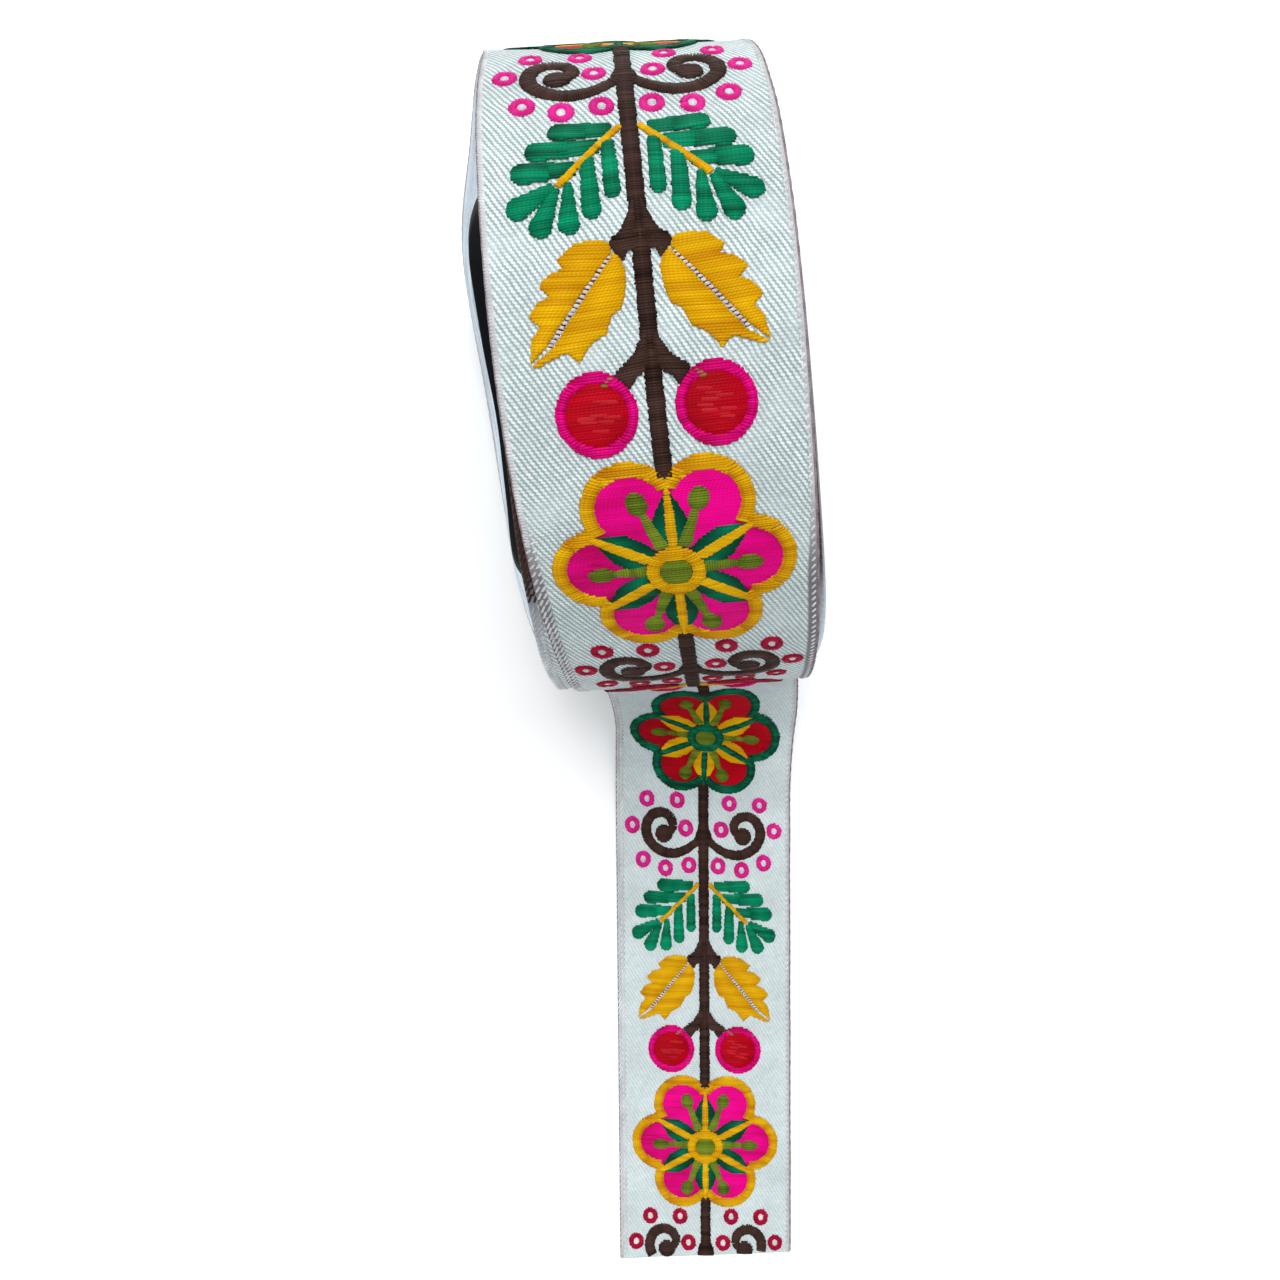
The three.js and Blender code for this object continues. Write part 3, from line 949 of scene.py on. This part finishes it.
def flower(colours):
    """Six round petals with a raised outline, a six-rayed star, stamens and a ringed centre."""
    inner = LOBE_RADIUS - OUTLINE_WIDTH
    disc = ellipse(0, LOBES_V, UNDERLAY, UNDERLAY)
    fill(colours["petal"], disc, UNDERLAY_TOP, relief=SMOOTH, tones=(0.3, 0.3))
    for spoke, tone in PETAL_SHEEN:
        bulge = ellipse(LOBE_DISTANCE, 0, inner + 0.6, inner + 0.6, -115, 115, 24)
        petal = turned(np.concatenate([PETAL_FOOT, bulge, mirrored_along(PETAL_FOOT)]), spoke)
        fill(colours["petal"], petal + (0, LOBES_V), PETAL_TOP, relief=SMOOTH, tones=(tone, tone))
    for spoke in range(0, 360, 60):
        border(colours["outline"], polar(LOBE_DISTANCE, spoke), LOBE_RADIUS, inner, OUTLINE_TOP,
               facing=spoke, opening=93, base=0.10, tones=colours["outline_tones"])
    for ray in range(30, 390, 60):
        kite = turned(np.concatenate([RAY_SIDE, mirrored_along(RAY_SIDE[::-1])]), ray)
        fill(colours["star"], kite, STAR_TOP, relief=SMOOTH, base=ON_PETAL, tones=colours["star_tones"])
    stamens()
    for ray in range(30, 390, 60):
        line = [polar(reach, ray, 0) for reach in VEIN_REACH]
        column(colours["vein"], line, VEIN_WIDTHS, VEIN_TOP, level=0.85, base=ON_STAR,
               tones=colours["vein_tones"])
    border(colours["ring"], (0, 0), 5.2, 2.75, RING_TOP, tall=0.95, base=ON_STALKS,
           tones=colours["ring_tones"])
    fill("olive", ellipse(0, 0, 2.95, 2.7), EYE_TOP, base=0.45)


def stamens():
    """Each stamen has a stalk that thins out, and a knob in the middle of its petal."""
    for spoke in (0, 68, 112, 180, 248, 292):
        level = spoke % 180 == 0
        reach = 12.9 if level else 14.0
        line = [polar(distance, spoke, STAMENS_V) for distance in (4.6, 8, reach - 1.6)]
        column("olive", line, [1.35, 1.05, 0.6], STALK_TOP, level=0.0 if level else 0.7, base=ON_PETAL)
        knob = ellipse(reach, 0, 2.5 if level else 2.1, 1.4 if level else 1.85)
        fill("olive", turned(knob, spoke) + (0, STAMENS_V), KNOB_TOP, base=ON_PETAL, tones=(0.3, 0.3))


print("a flower is", 2 * (LOBE_DISTANCE + LOBE_RADIUS), "mm across")

# %% The stem with its collars
STEM_HALF, HALF_REPEAT = 1.5, 122.9
STEM_STARTS, JUNCTION_V, STEM_ENDS = 15.2, 33.2, HALF_REPEAT - 17.3
FLARE = [
    (0.4, 60.0), (2.0, 63.0), (3.1, 65.2), (5.0, 67.0), (4.3, 68.6), (3.0, 70.0), (2.1, 68.6), (0.6, 67.9),
]
FORK = [
    (0.4, 81.0), (2.2, 83.8), (3.6, 85.8), (6.1, 87.7), (5.2, 89.1), (4.0, 90.3), (2.6, 88.6), (0.6, 86.8),
]
BINDING_V, BINDING_REACH = (66.3, 66.7), 4.7
TIP_STEPS = (0.0, 0.5, 1.0)
TIP_START, TIP_END = np.array([6.3, 88.5]), np.array([7.6, 88.3])


def mirrored(points, side):
    return np.asarray(points, float) * [side, 1]


def stem():
    """The stem runs from flower to flower and flares where leaves and cherries leave it."""
    upper = [STEM_HALF] * 9 + [2.3, 2.5, STEM_HALF]
    column("brown", [(0, STEM_STARTS), (0, JUNCTION_V + 1)], upper, 0.60, tones=(0.4, 0.3))
    column("brown", [(0, JUNCTION_V + 0.6), (0, STEM_ENDS)], STEM_HALF, 0.58, tones=(0.4, 0.3))
    for side in SIDES:
        for shape in (FLARE, FORK):
            fill("brown", mirrored(round_line(shape, closed=True, steps=4), side), 0.64, slant=side * 6)
        for v in BINDING_V:
            stitch("brown", (0.0, v - 0.2), (side * BINDING_REACH, v), 0.76, base=0.2, tones=(0.5, 0.9))
        for step in TIP_STEPS:
            start, end = mirrored([TIP_START + step, TIP_END + step], side)
            stitch("olive", start, end, 0.5, base=0.1)


print("half a repeat is", HALF_REPEAT, "mm long")


# %% The scroll and its rings
ARM_WIDTHS = [1.1, 1.2, 1.35, *[1.5] * 7, 1.35, 1.1]
SCROLL_END = (11.4, 31.0)
SCROLL_LINE = [
    (1.0, 31.9), (3.3, 34.2), (6.5, 36.1), (9.9, 36.6), (13.5, 35.3), (16.0, 32.3), (16.4, 28.9),
    (14.9, 26.0), (12.3, 24.9), (9.8, 26.0), (8.7, 28.5), (9.6, 30.6),
]
RING_PLACES = [(7.5, 21.2), (16.2, 21.2), (20.4, 28.9), (5.1, 29.2), (17.4, 38.6), (11.0, 40.9), (4.2, 39.9)]


def scroll(colours):
    """Two arms curl outwards from the stem to a round end, with seven small rings about each."""
    for side in SIDES:
        column("brown", round_line(mirrored(SCROLL_LINE, side)), ARM_WIDTHS, 0.52)
        fill("brown", ellipse(*mirrored(SCROLL_END, side), 2.5, 2.5), 0.60)
        for place in mirrored(RING_PLACES, side):
            fill("white", ellipse(*place, 0.85, 0.9), 0.22)
            line = ellipse(*place, 1.5, 1.78, count=20)[:-1]
            column(colours["rings"], line, 0.76, 0.40, closed=True, relief=0.18)


print("a scroll's arm is", lengths_along(round_line(SCROLL_LINE))[-1].round(), "mm long")

# %% The spray of leaflets
def leaflet(base, tip, base_width, tip_width):
    """Outline of a leaflet: narrow at its base and round at its tip."""
    base, tip = np.array(base, float), np.array(tip, float)
    along = unit(tip - base)
    across = np.array([-along[1], along[0]])
    centre = tip - along * tip_width
    angles = np.radians(np.linspace(-90, 90, 11))
    cap = [centre + tip_width * (math.cos(a) * along + math.sin(a) * across) for a in angles]
    return [base - across * base_width, *cap, base + across * base_width]


HANGING = [
    ((3.8, 48.4), (3.7, 59.3), 1.2, 1.42), ((7.4, 51.6), (7.2, 62.7), 1.2, 1.65),
    ((10.7, 56.0), (11.1, 65.0), 0.7, 1.8), ((12.6, 56.8), (16.3, 65.0), 0.7, 1.9),
    ((12.9, 56.4), (20.6, 60.9), 0.8, 1.95),
]
LEVEL = [
    ((3.0, 46.0), (13.5, 45.7), 1.2, 1.8), ((5.2, 49.4), (17.4, 49.5), 1.3, 1.9),
    ((9.2, 53.4), (19.9, 53.6), 1.2, 1.95),
]
MIDRIB_LINE = [(1.5, 45.2), (7.0, 50.9), (12.4, 56.4)]


def slope(start, end):
    """Angle of a line in degrees, between -90 and 90."""
    rise, run = end[1] - start[1], end[0] - start[0]
    return (math.degrees(math.atan2(rise, run)) + 90) % 180 - 90


def spray(colours):
    """A midrib with three level leaflets above it, each in two parts, and five hanging ones below."""
    green = colours["leaflets"]
    for side in SIDES:
        for base, tip, base_width, tip_width in HANGING:
            outline = leaflet(mirrored(base, side), mirrored(tip, side), base_width, tip_width)
            fill(green, outline, 0.56, slant=side * 5, tones=(0.1, 0.1))
        for base, tip, base_width, tip_width in LEVEL:
            base, tip = mirrored(base, side), mirrored(tip, side)
            waist = (base + tip) / 2
            inner_tip, outer_base = waist + (side * 0.9, -0.25), waist - (side * 1.2, -0.1)
            inner = leaflet(base, inner_tip, base_width, 1.55)
            outer = leaflet(outer_base, tip, 1.5, tip_width)
            fill(green, inner, 0.48, slant=slope(base, inner_tip) + side * 4, tones=(0.1, 0.4))
            fill(green, outer, 0.58, slant=slope(outer_base, tip) - side * 3, tones=(0.4, 0.1))
        midrib = mirrored(MIDRIB_LINE, side)
        column(colours["midrib"], midrib, [0.6, 0.62, 0.7], 0.62, level=0.3, base=0.2)


print("leaflets in a spray:", 2 * (len(HANGING) + len(LEVEL)))

# %% The toothed leaves
LEAF_UPPER = [
    (4.7, 68.6), (4.9, 66.9), (8.0, 66.4), (10.6, 66.7), (13.4, 68.9), (12.5, 70.4), (15.0, 71.2),
    (16.7, 72.9), (15.2, 74.6), (17.2, 75.6), (18.7, 77.6), (17.0, 79.2), (18.6, 81.0), (19.2, 84.8),
    (16.3, 82.4), (10.5, 75.2),
]
LEAF_LOWER = [
    (4.5, 68.8), (3.3, 69.6), (2.7, 71.8), (3.0, 75.0), (3.9, 77.5), (5.6, 78.6), (6.7, 81.3), (9.2, 82.6),
    (11.4, 85.4), (13.4, 83.6), (18.2, 85.5), (18.9, 85.1), (15.5, 82.8), (9.8, 75.6),
]
LADDER = [(5.0, 69.0), (10.15, 75.4), (15.9, 82.6)]
RUNG_PITCH = 0.85


def toothed_leaves(colours):
    """Each leaf is two fills with a gap between them, which holds a ladder of white rungs on brown."""
    for side in SIDES:
        for half, slant in ((LEAF_UPPER, -4), (LEAF_LOWER, 3)):
            fill(colours["leaf"], mirrored(half, side), 0.48, slant=side * slant, tones=(0.1, 0.1))
        ladder = round_line(mirrored(LADDER, side))
        column("brown", ladder, 0.40, 0.12, level=0.6)
        column("white", ladder, 0.42, 0.28, level=0.85, pitch=RUNG_PITCH, tones=(0.3, 0.3))


print("a ladder has about", round(lengths_along(np.array(LADDER))[-1] / RUNG_PITCH), "rungs")

# %% The cherries
CHERRY_PLACE, CHERRY_RADIUS, CHERRY_INNER = (9.7, 94.0), 6.7, 4.9
SCRATCHES, SCRATCH_SPREAD, SCRATCH_HALF = 9, 2.6, (1.4, 0.1)


def cherries():
    """A smooth red disc with a few stray raised threads, whose lighter rose paints their highlights, and a
    raised magenta border.
    """
    for side in SIDES:
        centre = mirrored(CHERRY_PLACE, side)
        fill("red", ellipse(*centre, CHERRY_INNER + 0.5, CHERRY_INNER + 0.6), 0.32, relief=SMOOTH)
        border("magenta", centre, CHERRY_RADIUS, CHERRY_INNER, 0.50, tall=1.03, base=0.08, tones=(0.35, 0.0))
        # stray threads, in a lighter rose that is a painted highlight
        for middle in centre + rng.uniform(-SCRATCH_SPREAD, SCRATCH_SPREAD, (SCRATCHES, 2)):
            stitch("rose", middle - SCRATCH_HALF, middle + SCRATCH_HALF, 0.35, relief=SMOOTH, base=0.29)


print("a cherry is", 2 * CHERRY_RADIUS, "mm across")

# %% [markdown]
# The two halves are drawn once each and then repeated along the ribbon, on the weft threads.

# %% Both halves of the repeat
RED_HALF = {
    "petal": "red", "outline": "green", "star": "gold", "vein": "green", "ring": "green",
    "rings": "pink", "leaflets": "green", "midrib": "gold", "leaf": "gold",
    "outline_tones": (1.0, 0.6), "star_tones": (0.1, 0.1), "vein_tones": (0.9, 0.6),
    "ring_tones": (0.6, 0.5),
}
PINK_HALF = {
    "petal": "magenta", "outline": "gold", "star": "green", "vein": "gold", "ring": "gold",
    "rings": "crimson", "leaflets": "crimson", "midrib": "gold", "leaf": "green",
    "outline_tones": (0.6, 0.0), "star_tones": (0.8, 0.8), "vein_tones": (0.2, 0.0),
    "ring_tones": (0.25, 0.0),
}


def draw_half(colours):
    motif.clear()
    stem()
    scroll(colours)
    spray(colours)
    toothed_leaves(colours)
    cherries()
    flower(colours)
    return {colour: np.array(rows) for colour, rows in motif.items()}


halves = [draw_half(RED_HALF), draw_half(PINK_HALF)]
print("stitches in a repeat:", sum(len(rows) for half in halves for rows in half.values()))

# %% Repeating the pattern
RED_FLOWER_S = 168.2
START_MARGIN, CUT_MARGIN = 0.5, 0.1
first = math.floor((FACE_START - RED_FLOWER_S) / HALF_REPEAT) - 1
last = math.ceil((FACE_END - RED_FLOWER_S) / HALF_REPEAT)
sewn = {}
for number in range(first, last + 1):
    for colour, rows in halves[number % 2].items():
        placed = rows.copy()
        placed[:, [1, 3]] += RED_FLOWER_S + number * HALF_REPEAT
        sewn.setdefault(colour, []).append(placed)

for colour in sewn:
    rows = np.concatenate(sewn[colour])
    rows[:, 1] += weft_shift(rows[:, 0], rows[:, 1])
    rows[:, 3] += weft_shift(rows[:, 2], rows[:, 3])
    both_ends = rows[:, [1, 3]]
    inside = (both_ends > FACE_START + START_MARGIN) & (both_ends < FACE_END - CUT_MARGIN)
    sewn[colour] = rows[inside.all(1)]
print("stitches on the ribbon:", {colour: len(rows) for colour, rows in sewn.items()})

# %% [markdown]
# ## Threads as geometry
# A stitch is a low ridge, five steps long and four points across. It starts and ends in the cloth, rises
# quickly and is fullest in the middle. Neighbours overlap a little, so no cloth shows between them. No two
# lie quite alike, and they come in streaks of like tone.

# %% Stitches to a mesh
ACROSS = np.array([-0.5, -0.2, 0.2, 0.5])
CREST_PROFILE = np.array([0.0, 0.86, 1.0, 0.86, 0.0])
SLIM = np.array([0.65, 0.97, 1.0, 0.97, 0.65])
DEPTH_ALONG, DEPTH_ACROSS = np.array([0.35, 1, 1, 1, 0.35]), np.array([1, 0, 0, 1])
# painted shade at the ends of each stitch and along its sides
END_SHADE, BETWEEN_SHADE = np.array([0.34, 0.06, 0.0, 0.06, 0.34]), np.array([0.22, 0.0, 0.0, 0.22])
RISE_LENGTH, RISE_SHARES = 0.26, (0.04, 0.24)
UNEVEN_HEIGHT, UNEVEN_WIDTH = 0.08, 0.06
MEAN_TONE, STREAKS, GLOSS = 0.28, 0.12, 0.26


def streaky(count, spread):
    """Random numbers in which neighbours are alike."""
    rough = rng.normal(0, 1, count + 2)
    return spread * (0.55 * rough[:-2] + rough[1:-1] + 0.55 * rough[2:])


def gloss(u, s):
    """A soft change of tone over a few millimetres, as light plays on satin."""
    return np.sin(u / 1.9 + 1.4 * np.sin(s / 3.7)) * np.sin(s / 2.6 + 0.8 * np.sin(u / 3.1) + 0.7)


def thread_piece(name, rows, material, width=THREAD_WIDTH, scatter=0.08, laying=lay):
    """One mesh for all the stitches of one colour. scatter is how unevenly they lie, in millimetres."""
    start, end = rows[:, 0:2], rows[:, 2:4]
    height, relief, base = rows[:, 4:7].T
    count, bold = len(rows), relief / BOLD
    length = np.linalg.norm(end - start, axis=1)

    # each stitch is shifted and tilted a little
    shift = rng.normal(0, 0.4 * scatter, count)
    tilt = rng.normal(0, 0.25 * scatter, count)
    start = start + np.stack([0 * length, shift - tilt], -1)
    end = end + np.stack([0 * length, shift + tilt], -1)
    along = (end - start) / length[:, None]
    across = np.stack([-along[:, 1], along[:, 0]], -1)

    # five places along it, and how high and wide it is at each
    ends = rng.normal(0, scatter, (count, 2))
    rise = np.clip(RISE_LENGTH / length, *RISE_SHARES)
    station = np.stack([ends[:, 0] / length, rise, 0.5 + 0 * rise, 1 - rise, 1 + ends[:, 1] / length], 1)
    raised = (height - base) * rng.normal(1, UNEVEN_HEIGHT, count)
    crest = base[:, None] + raised[:, None] * CREST_PROFILE
    wide = width * (1.1 - 0.1 * bold) * rng.normal(1, UNEVEN_WIDTH, count)
    offset = wide[:, None, None] * SLIM[:, None] * ACROSS
    drop = relief[:, None, None] * DEPTH_ALONG[:, None] * DEPTH_ACROSS
    place = start[:, None, None] + station[..., None, None] * (end - start)[:, None, None]
    place = place + offset[..., None] * across[:, None, None]
    points = laying(place[..., 0], place[..., 1], CLOTH / 2 + crest[..., None] - drop)
    plane = np.stack([(station * length[:, None])[..., None] + 0 * offset, ACROSS + 0 * offset], -1)

    # its tone has painted shade at the ends and sides, is uneven from stitch to stitch, and has a painted
    # gloss
    tone = rows[:, 7, None] * (1 - station) ** 2 + rows[:, 8, None] * station**2 + END_SHADE * bold[:, None]
    tone = tone + (MEAN_TONE + streaky(count, STREAKS) * (0.35 + 0.65 * bold))[:, None]
    tone = tone + GLOSS * (1.3 - bold)[:, None] * gloss(place[:, :, 1, 0], place[:, :, 1, 1])
    tone = np.clip(tone[..., None] + BETWEEN_SHADE * bold[:, None, None] + 0 * offset, 0, 1)

    # quads between its points
    stations, width_points = len(SLIM), len(ACROSS)
    corner = np.arange(stations - 1)[:, None] * width_points + np.arange(width_points - 1)
    quads = np.stack([corner, corner + width_points, corner + width_points + 1, corner + 1], -1)
    faces = np.arange(count)[:, None, None] * stations * width_points + quads.reshape(-1, 4)
    return new_piece(name, points, faces, material, plane=plane, tone=tone)


for colour, rows in sewn.items():
    thread_piece(f"embroidery_{colour}", rows, thread_materials[colour])

# %% [markdown]
# ## Selvedges
# The ribbon's two edges are woven with longer floats: bright slanted strokes 1.6 mm apart, with a mauve
# grey cord along the very edge. On the top of the roll the left edge lies tight, and only fine ticks of
# weft show there. The strokes are stitches too, so `thread_piece` makes them. The left edge of the turn
# below the outer one shows as well: first as a strip painted in brown shade, and lower down in full
# light, where a painted shade fades out along its first strokes.

# %% Strokes along an edge
STROKE_PITCH, TICK_PITCH, EDGE_THREAD, EDGE_SCATTER = 1.6, 0.55, 0.44, 0.06
TIGHT_UNTIL, OPEN_FROM = 34.0, 62.0
STEEP = ((0.15, 1.0, 1.15), (1.15, 2.05, 1.05))
SLANTED = ((0.55, 1.3, 0.55),)
STROKE_LOOK = (0.15, 0.12, 0, 0, 0.3)
TICK_LOOK = (0.08, 0.08, 0, 0.6, 0)


def edge_stitches(side, outer, starts, inner, ends, look):
    """Stitches between two distances from an edge. The look is their height, relief, base and tones."""
    plain = np.ones(len(starts))
    outer_u, inner_u = side * (HALF_WIDTH - outer) * plain, side * (HALF_WIDTH - inner) * plain
    return np.stack([outer_u, starts, inner_u, ends, *(value * plain for value in look)], -1)


def strokes(side, start, end, columns, tight_until=None):
    """Columns of slanted floats. A column is its outer and inner distance from the edge, and its rise."""
    s = np.arange(start + 1.5, end - 1.5, STROKE_PITCH)
    opening = 1 + 0 * s if tight_until is None else 0.25 + 0.75 * step_up(s, tight_until, OPEN_FROM)
    rows = []
    for outer, inner, rise in columns:
        lean = side * rise * opening
        rows.append(edge_stitches(side, outer, s - lean, inner, s + lean, STROKE_LOOK))
    return np.concatenate(rows)


def ticks(side, start, end):
    """Fine level ends of weft along a tight edge."""
    s = np.arange(start + 0.5, end, TICK_PITCH)
    return edge_stitches(side, 0.1, s, 1.1, s + 0.1, TICK_LOOK)


edge_rows = np.concatenate([
    ticks(-1, FACE_START, TIGHT_UNTIL + 4),
    strokes(-1, TIGHT_UNTIL, FACE_END, STEEP, tight_until=TIGHT_UNTIL),
    strokes(1, FACE_START, FACE_END, SLANTED),
])
floats = thread_piece("selvedge_floats", edge_rows, selvedge_material, EDGE_THREAD, EDGE_SCATTER)
print("edge stitches:", len(edge_rows))

# %% The cord along each edge
CORD_STEP, CORD_SIDES = 0.8, 6
CORD_START, CORD_END = FACE_START + 0.5, FACE_END - 0.3
LEFT_CORD, RIGHT_CORD = 0.12, 0.26
CORD_HEIGHT, CORD_FLATNESS, CORD_INSET = 0.16, 0.6, 0.3


def edge_cord(name, side, thickness):
    """A thin flattened cord along an edge, with a small swelling in each turn of its thread."""
    s = np.arange(CORD_START, CORD_END, CORD_STEP)[:, None]
    angle = np.radians(np.arange(0, 360, 360 / CORD_SIDES))
    thick = thickness * (1 + 0.2 * np.sin(s * 2.1))
    u = side * (HALF_WIDTH - CORD_INSET * thickness) + thick * np.cos(angle)
    points = lay(u, s + 0 * u, CORD_FLATNESS * thick * np.sin(angle) + CORD_HEIGHT)
    tone = 0.4 + 0.3 * np.sin(s * 1.3) + 0 * u
    plane = np.stack([s + 0 * u, 0 * u], -1)
    return new_piece(name, points, band_faces(len(s), len(angle)), cord_material, plane=plane, tone=tone)


face_edges = [floats, edge_cord("left_edge_cord", -1, LEFT_CORD), edge_cord("right_edge_cord", 1, RIGHT_CORD)]
print("each cord is", round(CORD_END - CORD_START), "mm long")

# %% The edge of the turn below
SHADE_STARTS_AT, SHADE_ENDS_AT, LIT_FROM = 6.0, 45.0, 62.0
DUSK, BELOW_THREAD = 1.2, 0.42


def lay_below(u, s, height):
    """As lay, for the turn just below the outer one, where s is 0 at its end."""
    turn = face_turns[0] + s / ROLL_RADIUS
    radius = spiral_radius(turn) + height
    return settle(on_roll(wound_middle(turn) + u, turn, radius))


def below(degrees):
    """The place along the turn below under a turn of the outer one."""
    return (math.radians(degrees) - PEEL_TURN) * ROLL_RADIUS


shaded_rows = strokes(-1, below(SHADE_STARTS_AT), below(SHADE_ENDS_AT), STEEP)
lit_rows = strokes(-1, below(SHADE_ENDS_AT), 0.0, STEEP)
# painted shade: the first lit strokes start darker and lighten down the turn
lit_rows[:, 7:9] += DUSK - DUSK * step_up(lit_rows[:, [1]], below(SHADE_ENDS_AT), below(LIT_FROM))
lower_edges = [
    # the shaded strokes take the brown thread as painted shade
    ("edge_below_shaded", shaded_rows, thread_materials["brown"]),
    ("edge_below_lit", lit_rows, selvedge_material),
]
turn_edges = [thread_piece(*edge, BELOW_THREAD, EDGE_SCATTER, lay_below) for edge in lower_edges]
print("stitches on the edge below:", len(shaded_rows) + len(lit_rows))

# %% [markdown]
# ## The room
# A pale floor, and soft light that comes mostly from beyond the roll, so that its top is brightest and the
# stretch under its front lies in a soft shade.

# %% The floor
FLOOR_SIZE, FLOOR_WHITE = 6, 0.97

bpy.ops.mesh.primitive_plane_add(size=FLOOR_SIZE)
floor = bpy.context.object
floor.name = "studio_floor"
floor_material, tree, shader = new_material("studio_floor", 0.9)
shader.inputs["Base Color"].default_value = (FLOOR_WHITE, FLOOR_WHITE, FLOOR_WHITE, 1)
floor.data.materials.append(floor_material)
floor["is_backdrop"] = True
print("floor of", FLOOR_SIZE, "m")

# %% The light
ROOM_COLOUR, ROOM_STRENGTH = (0.93, 0.96, 1.0, 1), 0.64


def area_light(name, place, aim, size, power):
    """A square lamp at a place in metres, turned towards its aim."""
    data = bpy.data.lights.new(name, "AREA")
    data.size = size
    data.energy = power
    light = bpy.data.objects.new(name, data)
    light.location = place
    x, y, z = np.subtract(aim, place)
    light.rotation_euler = (-math.atan2(math.hypot(x, y), -z), 0, math.atan2(x, -y))
    bpy.context.scene.collection.objects.link(light)
    print(name, "of", power, "W")


area_light("key_light", place=(0.2, 1.2, 2.3), aim=(0, -0.05, 0.03), size=1.7, power=48.0)
area_light("fill_light", place=(-0.9, 0.1, 2.0), aim=(0, -0.1, 0.03), size=1.5, power=11.9)

world = bpy.data.worlds.new("soft_room")
world.use_nodes = True
background = world.node_tree.nodes["Background"]
background.inputs["Color"].default_value = ROOM_COLOUR
background.inputs["Strength"].default_value = ROOM_STRENGTH
bpy.context.scene.world = world
bpy.context.scene.view_settings.view_transform = "Standard"

# %% Sizes and the end
visual_box = [list(corner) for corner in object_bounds()]
for corner, plain, dressed in zip(("low", "high"), cad_box, visual_box):
    print(corner, "corner moved by", [round((b - a) / MM, 1) for a, b in zip(plain, dressed)], "mm")
